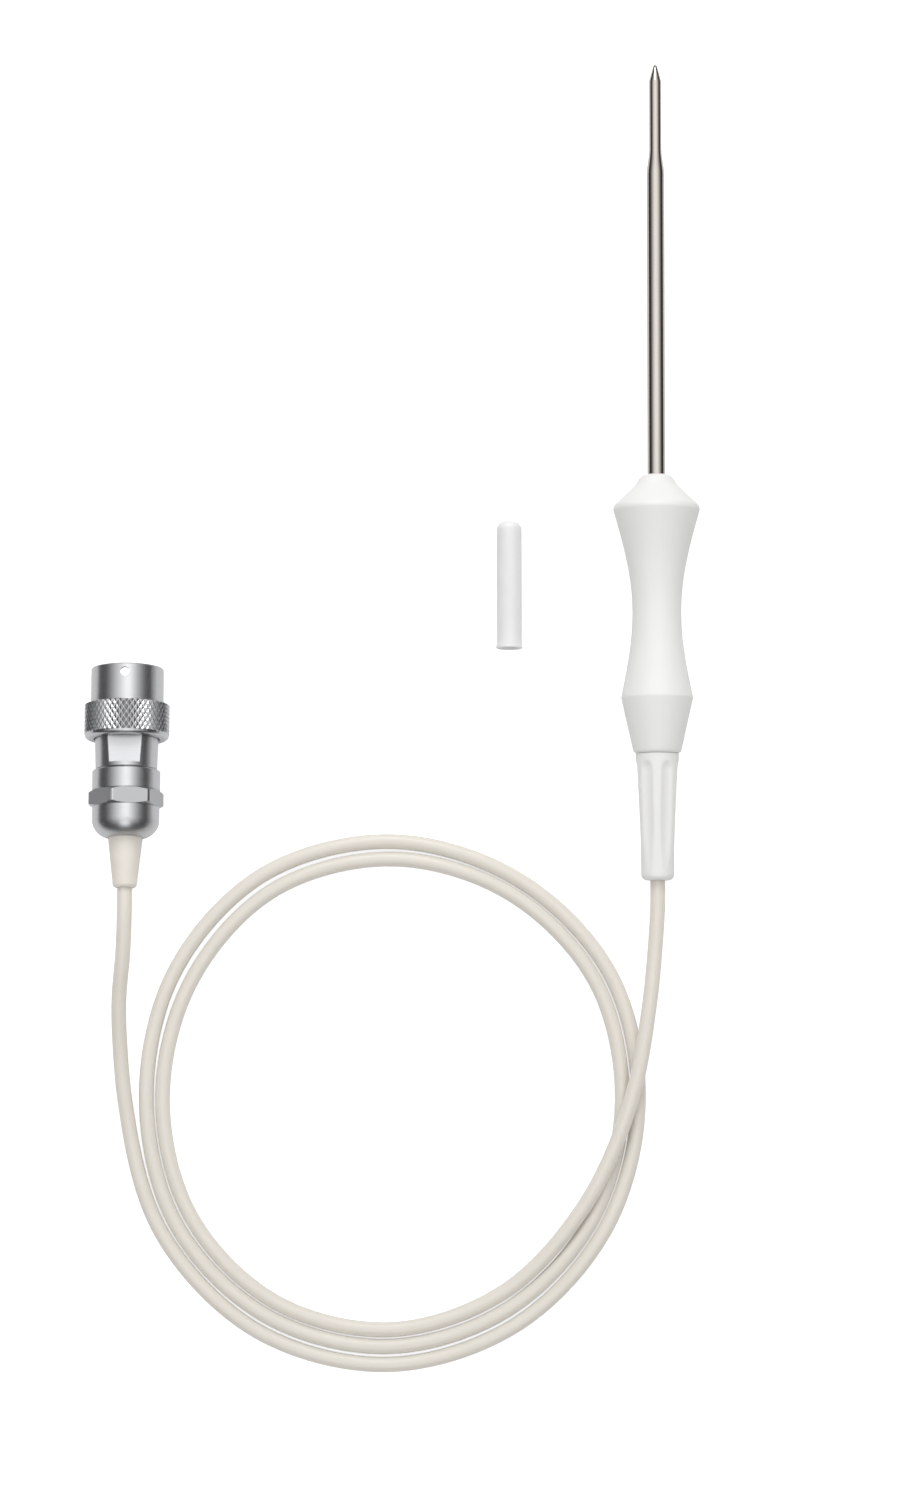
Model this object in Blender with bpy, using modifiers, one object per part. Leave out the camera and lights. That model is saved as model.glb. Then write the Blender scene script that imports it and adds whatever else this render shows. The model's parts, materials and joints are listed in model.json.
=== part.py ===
"""A handheld penetration thermocouple probe with its cable and bayonet plug, lying on a flat surface.

The stem is a swaged stainless tube with a thermocouple welded inside its point. It is crimped into a
turned plastic handle, and the cable leaves through a fluted strain relief, lies in two and a half loose
turns and ends in a metal plug with a knurled coupling ring that turns. The stem's tip cap lies beside it.

Sizes are in millimetres, and MM turns them to Blender's metres. Turned pieces are drawn along their own
axis, +Z towards the stem's point or the plug's mouth, as lists of (z, radius).
"""

import math

import bmesh
import bpy
import numpy as np
from mathutils import Matrix, Vector

MM = 0.001
CLEARANCE = 0.3  # between pieces that fit together
EDGE = 0.3  # small chamfers
OVERSHOOT = 2.0  # cutters run this far past what they cut

# Stem
STEM_LENGTH = 115.5  # from the handle's nose to the point
STEM_RADIUS = 2.5
STEM_WALL = 0.4
TIP_RADIUS = 1.75
TIP_LENGTH = 23.8  # reduced end, point included
POINT_LENGTH = 4.7
POINT_RADIUS = 0.55  # the point is blunt
POINT_WALL = 5.3  # solid end, in front of the bore
SWAGE_LENGTH = 7.5
SWAGE_EASE = 0.1  # the swage's ends are eased by this much radius
SWAGE_EASE_LENGTH = 1.1

# Thermocouple inside the stem
WIRE_RADIUS = 0.2
WIRE_SPREAD = 0.5  # each wire's distance from the axis
WIRE_BORE = 0.38
BEAD_RADIUS = 0.6
BEAD_GAP = 0.4  # bead to the end of the bore
INSULATOR_GAP = 0.25  # insulator to the tube's wall
TIP_INSULATOR_LENGTH = 13.0
LEG_RUN = 6.0  # from the stem's rear end to the splices
BEND = 1.0  # straight run between a wire's bend and its end

# Handle
NOSE_RADIUS = 4.0
NOSE_ROUND = 0.4
NOSE_LIP_RADIUS = 5.5
NOSE_LIP_FRONT = 1.2
NOSE_LIP_BACK = 1.9
SHOULDER_RADIUS = 12.05
SHOULDER_BACK = 9.6  # behind the nose face
SHOULDER_ROUND = 2.2
FLANK_ANGLE = 43.0  # slope of the nose flank, degrees
SHOULDER_ROLL = 16.0  # the shoulder's round runs this far over its top, degrees
WAIST_RADIUS = 6.8
WAIST_BACK = 38.2
BULGE_RADIUS = 10.0
BULGE_BACK = 62.0
BULGE_ROUND = 1.5
BULGE_ROLL = 12.0  # half the angle of the bulge's round, and the slope behind it, degrees
TAIL_RADIUS = 6.75
TAIL_ROUND = 1.1
HANDLE_LENGTH = 77.5
CHAMBER_RADIUS = 4.4
CHAMBER_STEP = 8.0  # the stem's rear end stands this far inside the wiring chamber
ANCHOR_LENGTH = 6.7

# Splices and cable cores inside the handle
SPLICE_RADIUS = 1.1
SPLICE_BORE = 0.55
SPLICE_LENGTH = 7.0
SPLICE_SPREAD = 1.7
CORE_RADIUS = 0.35
CORE_SPREAD = 0.9
CORE_RUN = 9.7  # from the splices to the end of the cable's jacket
JACKET_SEAT = 10.8  # length of jacket inside the handle

# Strain relief
RELIEF_LENGTH = 35.2
RELIEF_FRONT_RADIUS = 6.0
RELIEF_REAR_RADIUS = 4.55
RELIEF_ROUND = 1.5
TAPER = 5.0  # slope at which the moulded ends start to round off, degrees
SPIGOT_LENGTH = 11.0
FLUTES = 6
FLUTE_TURN = 26.0  # the first flute's turn from the top, degrees
FLUTE_START = 2.4  # behind the handle's end
FLUTE_END = 31.0
FLUTE_DEPTH = 0.8
FLUTE_CUT_RADIUS = 4.2
FLUTE_FADE = 0.45  # share of the flute in which it grows shallow towards the rear
FLUTE_RUN_OUT = 40.0  # the cutter's end rounds off this far, degrees

# Cable
CABLE_RADIUS = 2.1
LOOP_CENTRE = (-57.2, -174.6)
LOOP_START = 180.0
LOOP_STEP = 30.0
# Distance of the cable from the loops' centre, one value every LOOP_STEP degrees
LOOP_RADII = (
    73.6, 72.9, 72.9, 72.0, 70.1, 68.5, 68.1, 69.9, 70.6, 71.9, 72.2, 70.0,
    67.8, 68.3, 68.1, 67.1, 65.3, 64.0, 63.6, 65.3, 66.1, 67.0, 67.0, 64.7,
    63.3, 63.7, 63.6, 62.5, 60.7, 60.2, 65.9,
)
FIRST_LIFT = 0.9  # of the cable's middle, where it comes down from the plug
LAST_LIFTS = (2.5, 4.6)  # where it climbs over both loops
PLUG_STRAND = ((-130.8, -133.0, 14.2), (-132.2, -147.5, 9.6), (-132.0, -161.5, 5.2))
HANDLE_STRAND = ((13.8, -148.6, 7.3), (15.6, -131.0, 7.3))
STRAIGHT_OUT = 6.0  # the cable leaves boot and relief straight for this far

# Plug, from the front plane of the knurled band
SLEEVE_RADIUS = 10.05
SLEEVE_LENGTH = 10.1
SLEEVE_BORE = 8.9
BAND_RADIUS = 11.8
BAND_LENGTH = 9.7
KNURLS = 60
KNURL_START = 0.45
KNURL_ROWS = 7
KNURL_HALF_PITCH = 1.1
KNURL_DEPTH = 0.4
PLAIN_SHARE = 3  # the plain rings of the coupling keep one point in this many
SAME = 1e-3  # two places closer than this are one
REAR_CHAMFER = 1.2
WINDOWS = 3
WINDOW_RADIUS = 1.25
WINDOW_BACK = 2.4  # behind the sleeve's rim
GROOVE_RADIUS = 1.1
GROOVE_DEPTH = 0.9
GROOVE_TURN = 40.0  # degrees that the coupling turns to lock
GROOVE_RISE = 2.2

BARREL_RADIUS = 7.6
BARREL_FRONT = 7.0
BARREL_BORE = 6.6
RIB_BACK = 5.4  # rib inside the coupling ring, which holds it on the plug body
RIB_LENGTH = 1.6
SNAP_RING_LENGTH = 0.8
SNAP_RING_GROOVE = 0.5
SNAP_RING_GAP = 2.0
SPRING_LENGTH = 0.8
GASKET_LENGTH = 1.2
BODY_FRONT_RADIUS = 8.8
BODY_REAR_RADIUS = 8.45
BODY_REAR = 18.3
FLAT_DISTANCE = 7.4  # wrench flats, from the axis
FLAT_REAR = 17.1
THREAD_RADIUS = 7.6
THREAD_LENGTH = 11.2
CAVITY_RADIUS = 5.6
INSERT_FRONT = 6.3
INSERT_REAR = 6.2
PINS = 4
PIN_TURN = 45.0  # the first pin's turn from the top, degrees
PIN_RADIUS = 0.5
PIN_CIRCLE = 3.2
PIN_FRONT = 8.8
PIN_REAR = 8.6

# Clamp nut, boot and cable clamp
COLLAR_RADIUS = 9.35
COLLAR_LENGTH = 5.6
HEX_CORNER_RADIUS = 10.4
HEX_FLAT_DISTANCE = 9.2
HEX_LENGTH = 4.5
HEX_TURN = 8.0  # turn of the top flat, degrees
DOME_RADIUS = 9.25
DOME_TAIL = 8.6
DOME_ROUND_LENGTH = 4.9
DOME_ROUND_HEIGHT = 5.5
DOME_ROLL = 76.0  # angle of the dome's round, degrees
NUT_END_WALL = 1.5
BOOT_FRONT_RADIUS = 4.75
BOOT_REAR_RADIUS = 3.35
BOOT_LENGTH = 13.7
BOOT_ROUND = 1.0
BOOT_FLANGE_RADIUS = 6.6
BOOT_FLANGE_LENGTH = 1.8
CLAMP_SLIT = 0.8
WASHER_LENGTH = 0.7
PLUG_TAIL = 5.5  # length of jacket inside the plug body's rear end

# Tip cap
CAP_RADIUS = 3.5
CAP_LENGTH = 35.9
CAP_FLARE_RADIUS = 3.73
CAP_FLARE_LENGTH = 1.4
CAP_LIP = 0.4  # straight part at the cap's open end
CAP_ROUND = 2.4
CAP_BORE = 2.65
CAP_END_WALL = 2.0

# Where the three things lie
PROBE_X = 16.25
NOSE_Y = -1.35
CAP_TOP_Y = -12.9
PLUG_X = -130.4
PLUG_Y = -65.65
PLUG_PITCH = 3.9  # the cable holds the plug's rear up, degrees

# Facets round each turned piece
SEGMENTS_LARGE = 36
SEGMENTS_SMALL = 24
SEGMENTS_TINY = 12

# Places worked out from the sizes
HUNG_BULGE = (SHOULDER_RADIUS - SHOULDER_ROUND) - (BULGE_RADIUS - BULGE_ROUND)
RIM_SPACING = BULGE_BACK - SHOULDER_BACK
PROBE_TILT = math.atan2(HUNG_BULGE, RIM_SPACING) + math.asin(
    (SHOULDER_ROUND - BULGE_ROUND) / math.hypot(HUNG_BULGE, RIM_SPACING))
SHOULDER_HEIGHT = (SHOULDER_RADIUS - SHOULDER_ROUND) * math.cos(PROBE_TILT) + SHOULDER_ROUND
CAP_TILT = math.asin((CAP_FLARE_RADIUS - CAP_RADIUS) / (CAP_LENGTH - CAP_ROUND))
CAP_X = CAP_FLARE_RADIUS - PROBE_X - SHOULDER_RADIUS
NUT_FRONT = BODY_REAR + CLEARANCE
HEX_FRONT = NUT_FRONT + COLLAR_LENGTH
HEX_REAR = HEX_FRONT + HEX_LENGTH
NUT_REAR = HEX_REAR + DOME_TAIL
BOOT_REAR = NUT_REAR + BOOT_LENGTH
BODY_TAIL = BODY_REAR + THREAD_LENGTH
RIB_REAR = RIB_BACK + RIB_LENGTH
SPRING_REAR = RIB_REAR + CLEARANCE + SPRING_LENGTH
BODY_SHOULDER = SPRING_REAR + CLEARANCE
BOOT_FLANGE_REAR = NUT_REAR - NUT_END_WALL - CLEARANCE
JACKET_FRONT = HANDLE_LENGTH - JACKET_SEAT
SPLICE_REAR = JACKET_FRONT - CORE_RUN
SPLICE_BACK = SPLICE_REAR - SPLICE_LENGTH
STEM_SEAT = SPLICE_BACK - LEG_RUN  # length of stem held inside the handle
CHAMBER_FRONT = STEM_SEAT - CHAMBER_STEP
BORE_END = STEM_LENGTH - POINT_WALL
BEAD_Z = BORE_END - BEAD_GAP - BEAD_RADIUS
SWAGE_FRONT = STEM_LENGTH - TIP_LENGTH
SWAGE_REAR = SWAGE_FRONT - SWAGE_LENGTH


def new_collection(name):
    collection = bpy.data.collections.new(name)
    bpy.context.scene.collection.children.link(collection)
    return collection


def material(name, colour, roughness, metallic=0.0):
    """A Principled material from an sRGB hex colour."""
    made = bpy.data.materials.new(name)
    made.use_nodes = True
    shader = made.node_tree.nodes["Principled BSDF"]
    parts = [int(colour[i:i + 2], 16) / 255 for i in (0, 2, 4)]
    linear = [c / 12.92 if c <= 0.04045 else ((c + 0.055) / 1.055) ** 2.4 for c in parts]
    shader.inputs["Base Color"].default_value = (*linear, 1.0)
    shader.inputs["Roughness"].default_value = roughness
    shader.inputs["Metallic"].default_value = metallic
    made.diffuse_color = (*linear, 1.0)
    return made


def frame(name, location, pitch):
    """An empty whose +Z points along a lying piece's axis: pitch 0 is level along +Y, and more lifts +Z."""
    empty = bpy.data.objects.new(name, None)
    PARTS.objects.link(empty)
    empty.matrix_world = (Matrix.Translation(Vector(location) * MM)
                          @ Matrix.Rotation(pitch - math.pi / 2, 4, "X"))
    return empty


def finish(name, mesh, parent, look, collection):
    """Puts a mesh in an object with its material. A piece is shaded smooth apart from its edges, and a
    cutter stays flat, so that what it cuts has crisp edges."""
    mesh.name = name
    if look:
        mesh.shade_smooth()
        mesh.set_sharp_from_angle(angle=math.radians(35))
    else:
        mesh.shade_flat()
    made = bpy.data.objects.new(name, mesh)
    collection.objects.link(made)
    made.parent = parent
    if look:
        mesh.materials.clear()
        mesh.materials.append(look)
    return made


def evaluated_mesh(source):
    """The mesh of an object with its modifiers or bevel applied; the object is removed."""
    graph = bpy.context.evaluated_depsgraph_get()
    mesh = bpy.data.meshes.new_from_object(source.evaluated_get(graph))
    bpy.data.objects.remove(source)
    whole = bmesh.new()
    whole.from_mesh(mesh)
    bmesh.ops.remove_doubles(whole, verts=whole.verts, dist=1e-6)
    whole.to_mesh(mesh)
    whole.free()
    return mesh


def turned(name, outline, parent, look, segments, collection=None):
    """A piece turned on a lathe. The outline of (z, radius) runs down the outer side, front to rear, and
    a hollow piece's comes back up the inner side. It is closed unless it ends on the axis."""
    points = [(radius * MM, 0.0, z * MM) for z, radius in outline]
    edges = [(i, i + 1) for i in range(len(points) - 1)]
    if outline[0][1] > 0 or outline[-1][1] > 0:
        edges.append((len(points) - 1, 0))
    profile = bpy.data.meshes.new(name)
    profile.from_pydata(points, edges, [])
    lathe = bpy.data.objects.new(name + "_profile", profile)
    bpy.context.scene.collection.objects.link(lathe)
    screw = lathe.modifiers.new("turn", "SCREW")
    screw.axis = "Z"
    screw.steps = segments
    screw.render_steps = segments
    screw.use_merge_vertices = True
    screw.merge_threshold = 1e-6
    return finish(name, evaluated_mesh(lathe), parent, look, collection or PARTS)


def ring(name, front, rear, inner, outer, parent, look, segments=SEGMENTS_SMALL, collection=None):
    """A plain turned ring between two places behind the frame's origin."""
    outline = [(-front, inner), (-front, outer), (-rear, outer), (-rear, inner)]
    return turned(name, outline, parent, look, segments, collection)


def wire(name, points, radius, parent, look, sides=2, collection=None):
    """A round wire, cable or groove cutter along the points."""
    curve = bpy.data.curves.new(name, "CURVE")
    curve.dimensions = "3D"
    curve.bevel_depth = radius * MM
    curve.bevel_resolution = sides
    curve.use_fill_caps = True
    spline = curve.splines.new("POLY")
    spline.points.add(len(points) - 1)
    for slot, point in zip(spline.points, points):
        slot.co = (*(Vector(point) * MM), 1.0)
    made = bpy.data.objects.new(name, curve)
    (collection or PARTS).objects.link(made)
    made.parent = parent
    if look:
        curve.materials.append(look)
    return made


def cutter(made):
    """Marks an object as a tool that cuts others."""
    made.hide_render = True
    made.display_type = "WIRE"
    return made


def wire_cutter(name, points, radius, parent):
    """A tube along the points as a mesh that can cut."""
    curve = wire(name + "_path", points, radius, None, None, 2, bpy.context.scene.collection)
    return cutter(finish(name, evaluated_mesh(curve), parent, None, CUTTERS))


def box_cutter(name, size, centre, parent, turn=0.0):
    """A box that cuts, turned about the frame's axis. Its centre is (sideways, up, along)."""
    block = bmesh.new()
    bmesh.ops.create_cube(block, size=1.0)
    bmesh.ops.scale(block, vec=Vector(size) * MM, verts=block.verts)
    bmesh.ops.translate(block, vec=Vector((centre[0], -centre[1], centre[2])) * MM, verts=block.verts)
    bmesh.ops.rotate(block, cent=(0, 0, 0), matrix=Matrix.Rotation(turn, 3, "Z"), verts=block.verts)
    mesh = bpy.data.meshes.new(name)
    block.to_mesh(mesh)
    block.free()
    return cutter(finish(name, mesh, parent, None, CUTTERS))


def cut(target, tool):
    """Takes the tool's shape out of the target."""
    boolean = target.modifiers.new(tool.name, "BOOLEAN")
    boolean.operation = "DIFFERENCE"
    boolean.solver = "EXACT"
    boolean.object = tool


def arc(centre_z, centre_radius, length, height, start, end, steps):
    """Points of (z, radius) on an arc, its angles in degrees from straight out, growing to the rear."""
    angles = [math.radians(start + (end - start) * i / steps) for i in range(steps + 1)]
    return [(centre_z - length * math.sin(a), centre_radius + height * math.cos(a)) for a in angles]


def around(angle, radius, z):
    """A point at an angle (degrees) from the top of a lying piece, positive to the right."""
    return (radius * math.sin(math.radians(angle)), -radius * math.cos(math.radians(angle)), z)


def smooth_path(points, steps):
    """A smooth curve through the points: cubic pieces whose slope at each point is that of the parabola
    through it and its neighbours, with the distance between points as the parameter."""
    path = np.array(points, float)
    gaps = np.linalg.norm(np.diff(path, axis=0), axis=1)[:, None]
    slopes = np.diff(path, axis=0) / gaps
    middle = (slopes[:-1] * gaps[1:] + slopes[1:] * gaps[:-1]) / (gaps[:-1] + gaps[1:])
    tangents = np.vstack([slopes[:1], middle, slopes[-1:]])
    samples = []
    for start, end, gap, leave, arrive in zip(path[:-1], path[1:], gaps, tangents[:-1], tangents[1:]):
        t = (np.arange(steps) / steps)[:, None]
        samples.append((2 * t**3 - 3 * t**2 + 1) * start + (3 * t**2 - 2 * t**3) * end
                       + gap * ((t**3 - 2 * t**2 + t) * leave + (t**3 - t**2) * arrive))
    return [tuple(p) for p in np.vstack([*samples, path[-1:]])]


def make_stem(parent):
    bore, tip_bore = STEM_RADIUS - STEM_WALL, TIP_RADIUS - STEM_WALL
    outline = [
        (STEM_LENGTH, 0), (STEM_LENGTH, POINT_RADIUS / 2), (STEM_LENGTH - EDGE, POINT_RADIUS),
        (STEM_LENGTH - POINT_LENGTH, TIP_RADIUS), (SWAGE_FRONT, TIP_RADIUS),
        (SWAGE_FRONT - SWAGE_EASE_LENGTH, TIP_RADIUS + SWAGE_EASE),
        (SWAGE_REAR + SWAGE_EASE_LENGTH, STEM_RADIUS - SWAGE_EASE), (SWAGE_REAR, STEM_RADIUS),
        (-STEM_SEAT, STEM_RADIUS), (-STEM_SEAT, bore), (SWAGE_REAR, bore), (SWAGE_FRONT, tip_bore),
        (BORE_END, tip_bore), (BORE_END, 0),
    ]
    turned("sheath_tube", outline, parent, STEEL, SEGMENTS_SMALL)


def make_thermocouple(parent):
    bead = bmesh.new()
    bmesh.ops.create_uvsphere(bead, u_segments=12, v_segments=8, radius=BEAD_RADIUS * MM)
    bmesh.ops.translate(bead, vec=(0, 0, BEAD_Z * MM), verts=bead.verts)
    mesh = bpy.data.meshes.new("junction_bead")
    bead.to_mesh(mesh)
    bead.free()
    finish("junction_bead", mesh, parent, ALLOY, PARTS)

    insulator_front = BEAD_Z - BEAD_RADIUS - CLEARANCE
    tip_radius = TIP_RADIUS - STEM_WALL - INSULATOR_GAP
    stem_radius = STEM_RADIUS - STEM_WALL - INSULATOR_GAP
    tip = ring("tip_insulator", -insulator_front, TIP_INSULATOR_LENGTH - insulator_front, 0, tip_radius,
               parent, CERAMIC, SEGMENTS_TINY)
    stem = ring("stem_insulator", -SWAGE_REAR, STEM_SEAT, 0, stem_radius, parent, CERAMIC, SEGMENTS_TINY)
    for side, leg in ((-1, "positive"), (1, "negative")):
        x = side * WIRE_SPREAD
        run = [(x, 0, STEM_LENGTH), (x, 0, -STEM_SEAT - OVERSHOOT)]
        bore = wire_cutter(leg + "_bore", run, WIRE_BORE, parent)
        cut(tip, bore)
        cut(stem, bore)
        leave = -STEM_SEAT - CLEARANCE
        arrive = -SPLICE_BACK + CLEARANCE
        splice_x = side * SPLICE_SPREAD
        reach = -SPLICE_BACK - SPLICE_LENGTH / 2 + CLEARANCE
        wire(leg + "_leg", [(x, 0, BEAD_Z - BEAD_RADIUS), (x, 0, leave), (splice_x, 0, arrive),
                            (splice_x, 0, reach)], WIRE_RADIUS, parent, ALLOY, 1)
        splice = [(-SPLICE_BACK, SPLICE_BORE), (-SPLICE_BACK, SPLICE_RADIUS), (-SPLICE_REAR, SPLICE_RADIUS),
                  (-SPLICE_REAR, SPLICE_BORE)]
        made = turned(leg + "_splice", splice, parent, COPPER, SEGMENTS_TINY)
        made.location.x = splice_x * MM
        core_x, core_end = side * CORE_SPREAD, CLEARANCE - JACKET_FRONT
        wire(leg + "_core", [(splice_x, 0, reach - 2 * CLEARANCE), (splice_x, 0, -SPLICE_REAR - CLEARANCE),
                             (core_x, 0, core_end + BEND), (core_x, 0, core_end)],
             CORE_RADIUS, parent, COPPER, 1)


def make_handle(parent):
    bore = STEM_RADIUS + CLEARANCE
    round_z, round_radius = -SHOULDER_BACK, SHOULDER_RADIUS - SHOULDER_ROUND
    shoulder = arc(round_z, round_radius, SHOULDER_ROUND, SHOULDER_ROUND, -FLANK_ANGLE, 0, 3)
    shoulder += arc(round_z, round_radius, SHOULDER_ROUND, SHOULDER_ROUND, 0, SHOULDER_ROLL, 1)[1:]
    bulge = arc(-BULGE_BACK, BULGE_RADIUS - BULGE_ROUND, BULGE_ROUND, BULGE_ROUND, -BULGE_ROLL, BULGE_ROLL, 2)
    tail = arc(TAIL_ROUND - HANDLE_LENGTH, TAIL_RADIUS - TAIL_ROUND, TAIL_ROUND, TAIL_ROUND, BULGE_ROLL, 90, 3)
    nose = [(0, bore), (0, NOSE_RADIUS), (-NOSE_ROUND, NOSE_LIP_RADIUS - NOSE_ROUND),
            (-NOSE_LIP_FRONT, NOSE_LIP_RADIUS), (-NOSE_LIP_BACK, NOSE_LIP_RADIUS)]

    # Behind the shoulder the radius falls as a quarter sine to the waist, and swells as one minus a cosine
    fall_z, fall_radius = shoulder[-1]
    fall = [(fall_z + (-WAIST_BACK - fall_z) * t,
             fall_radius + (WAIST_RADIUS - fall_radius) * math.sin(math.pi / 2 * t))
            for t in (i / 7 for i in range(1, 8))]
    swell_z, swell_radius = bulge[0]
    swell = [(-WAIST_BACK + (swell_z + WAIST_BACK) * t,
              WAIST_RADIUS + (swell_radius - WAIST_RADIUS) * (1 - math.cos(math.pi / 2 * t)))
             for t in (i / 6 for i in range(1, 6))]
    chamber = [(-HANDLE_LENGTH, CHAMBER_RADIUS), (-CHAMBER_FRONT, CHAMBER_RADIUS), (-CHAMBER_FRONT, bore)]
    turned("handle", nose + shoulder + fall + swell + bulge + tail + chamber, parent, WHITE, SEGMENTS_LARGE)

    ring("anchor_sleeve", CHAMBER_FRONT + CLEARANCE, CHAMBER_FRONT + CLEARANCE + ANCHOR_LENGTH, bore,
         CHAMBER_RADIUS - CLEARANCE, parent, STEEL)


def relief_radius(back):
    """The strain relief's radius at a distance behind the handle."""
    return RELIEF_FRONT_RADIUS + (RELIEF_REAR_RADIUS - RELIEF_FRONT_RADIUS) * back / RELIEF_LENGTH


def make_strain_relief(parent):
    bore, spigot = CABLE_RADIUS + CLEARANCE, CHAMBER_RADIUS - CLEARANCE
    front, rear = -HANDLE_LENGTH - CLEARANCE, -HANDLE_LENGTH - RELIEF_LENGTH
    end = arc(rear + RELIEF_ROUND, RELIEF_REAR_RADIUS - RELIEF_ROUND, RELIEF_ROUND, RELIEF_ROUND, TAPER, 90, 4)
    outline = [(SPIGOT_LENGTH - HANDLE_LENGTH, bore), (SPIGOT_LENGTH - HANDLE_LENGTH, spigot), (front, spigot),
               (front, RELIEF_FRONT_RADIUS - EDGE), (front - EDGE, RELIEF_FRONT_RADIUS)] + end + [(rear, bore)]
    relief = turned("strain_relief", outline, parent, WHITE, SEGMENTS_LARGE)

    # Each flute is scooped by a long round-ended tool that follows the taper and lifts out at the rear
    reach = FLUTE_CUT_RADIUS - FLUTE_DEPTH
    sink = FLUTE_CUT_RADIUS - math.sqrt(FLUTE_CUT_RADIUS**2 - reach**2)
    length = FLUTE_END - FLUTE_START + sink
    fade = FLUTE_FADE * length / math.sin(math.acos(reach / FLUTE_CUT_RADIUS))
    nose = arc(-FLUTE_CUT_RADIUS, 0, FLUTE_CUT_RADIUS, FLUTE_CUT_RADIUS, -90, 0, 6)
    lift = arc((FLUTE_FADE - 1) * length, 0, fade, FLUTE_CUT_RADIUS, 0, FLUTE_RUN_OUT, 4)
    tool_outline = nose + lift + [(lift[-1][0], 0)]
    slope = math.atan2(RELIEF_FRONT_RADIUS - RELIEF_REAR_RADIUS, RELIEF_LENGTH)
    for index in range(FLUTES):
        angle = FLUTE_TURN + 360 / FLUTES * index
        tool = turned(f"flute_tool_{index + 1}", tool_outline, parent, None, SEGMENTS_SMALL, CUTTERS)
        place = around(angle, relief_radius(FLUTE_START) + reach, sink - HANDLE_LENGTH - FLUTE_START)
        tool.matrix_local = (Matrix.Translation(Vector(place) * MM)
                             @ Matrix.Rotation(math.radians(angle), 4, "Z")
                             @ Matrix.Rotation(slope, 4, "X"))
        cut(relief, cutter(tool))


def make_cable(probe, plug):
    exits = []
    for holder, start, end in ((plug, BODY_TAIL - PLUG_TAIL, BOOT_REAR),
                               (probe, JACKET_FRONT, HANDLE_LENGTH + RELIEF_LENGTH)):
        place = [holder.matrix_world @ Vector((0, 0, -z * MM)) / MM for z in (start, end, end + STRAIGHT_OUT)]
        exits.append([tuple(p) for p in place])
    lifts = [FIRST_LIFT] + [0.0] * (len(LOOP_RADII) - 1 - len(LAST_LIFTS)) + list(LAST_LIFTS)
    loops = []
    for index, radius in enumerate(LOOP_RADII):
        angle = math.radians(LOOP_START + LOOP_STEP * index)
        loops.append((LOOP_CENTRE[0] + radius * math.cos(angle), LOOP_CENTRE[1] + radius * math.sin(angle),
                      CABLE_RADIUS + lifts[index]))
    route = exits[0] + list(PLUG_STRAND) + loops + list(HANDLE_STRAND) + exits[1][::-1]
    path = [(x, y, max(z, CABLE_RADIUS)) for x, y, z in smooth_path(route, 2)]
    wire("cord", path, CABLE_RADIUS, None, JACKET, 2)


def knurl(mesh):
    """Presses every second crossing of the band's grid inwards and folds the faces between the pressed
    points, which leaves rows of four-sided pyramids, as two crossing sets of cuts do. The plain rings
    before and behind the band keep one point in PLAIN_SHARE."""
    rows = [-(KNURL_START + KNURL_HALF_PITCH * i) for i in range(KNURL_ROWS + 1)]
    work = bmesh.new()
    work.from_mesh(mesh)
    grid, plain = {}, {}
    for vert in work.verts:
        z, radius = vert.co.z / MM, math.hypot(vert.co.x, vert.co.y) / MM
        row = round((-z - KNURL_START) / KNURL_HALF_PITCH)
        column = round(math.atan2(vert.co.y, vert.co.x) / math.pi * KNURLS) % (2 * KNURLS)
        on_row = 0 <= row <= KNURL_ROWS and abs(z - rows[row]) < SAME
        if on_row and abs(radius - BAND_RADIUS) < SAME:
            grid[vert] = (row + column) % 2
        else:
            plain[(round(z, 3), round(radius, 3), column)] = vert
    pressed = {vert for vert, odd in grid.items() if odd}
    for face in list(work.faces):
        low = [vert for vert in face.verts if vert in pressed]
        if len(low) == 2 and all(vert in grid for vert in face.verts):
            bmesh.utils.face_split(face, low[0], low[1])
    for vert in pressed:
        vert.co.x *= 1 - KNURL_DEPTH / BAND_RADIUS
        vert.co.y *= 1 - KNURL_DEPTH / BAND_RADIUS
    kept = {}
    for (z, radius, column), vert in plain.items():
        nearest = round(column / PLAIN_SHARE) * PLAIN_SHARE % (2 * KNURLS)
        if nearest != column:
            kept[vert] = plain[(z, radius, nearest)]
    bmesh.ops.weld_verts(work, targetmap=kept)
    work.to_mesh(mesh)
    work.free()


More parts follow.
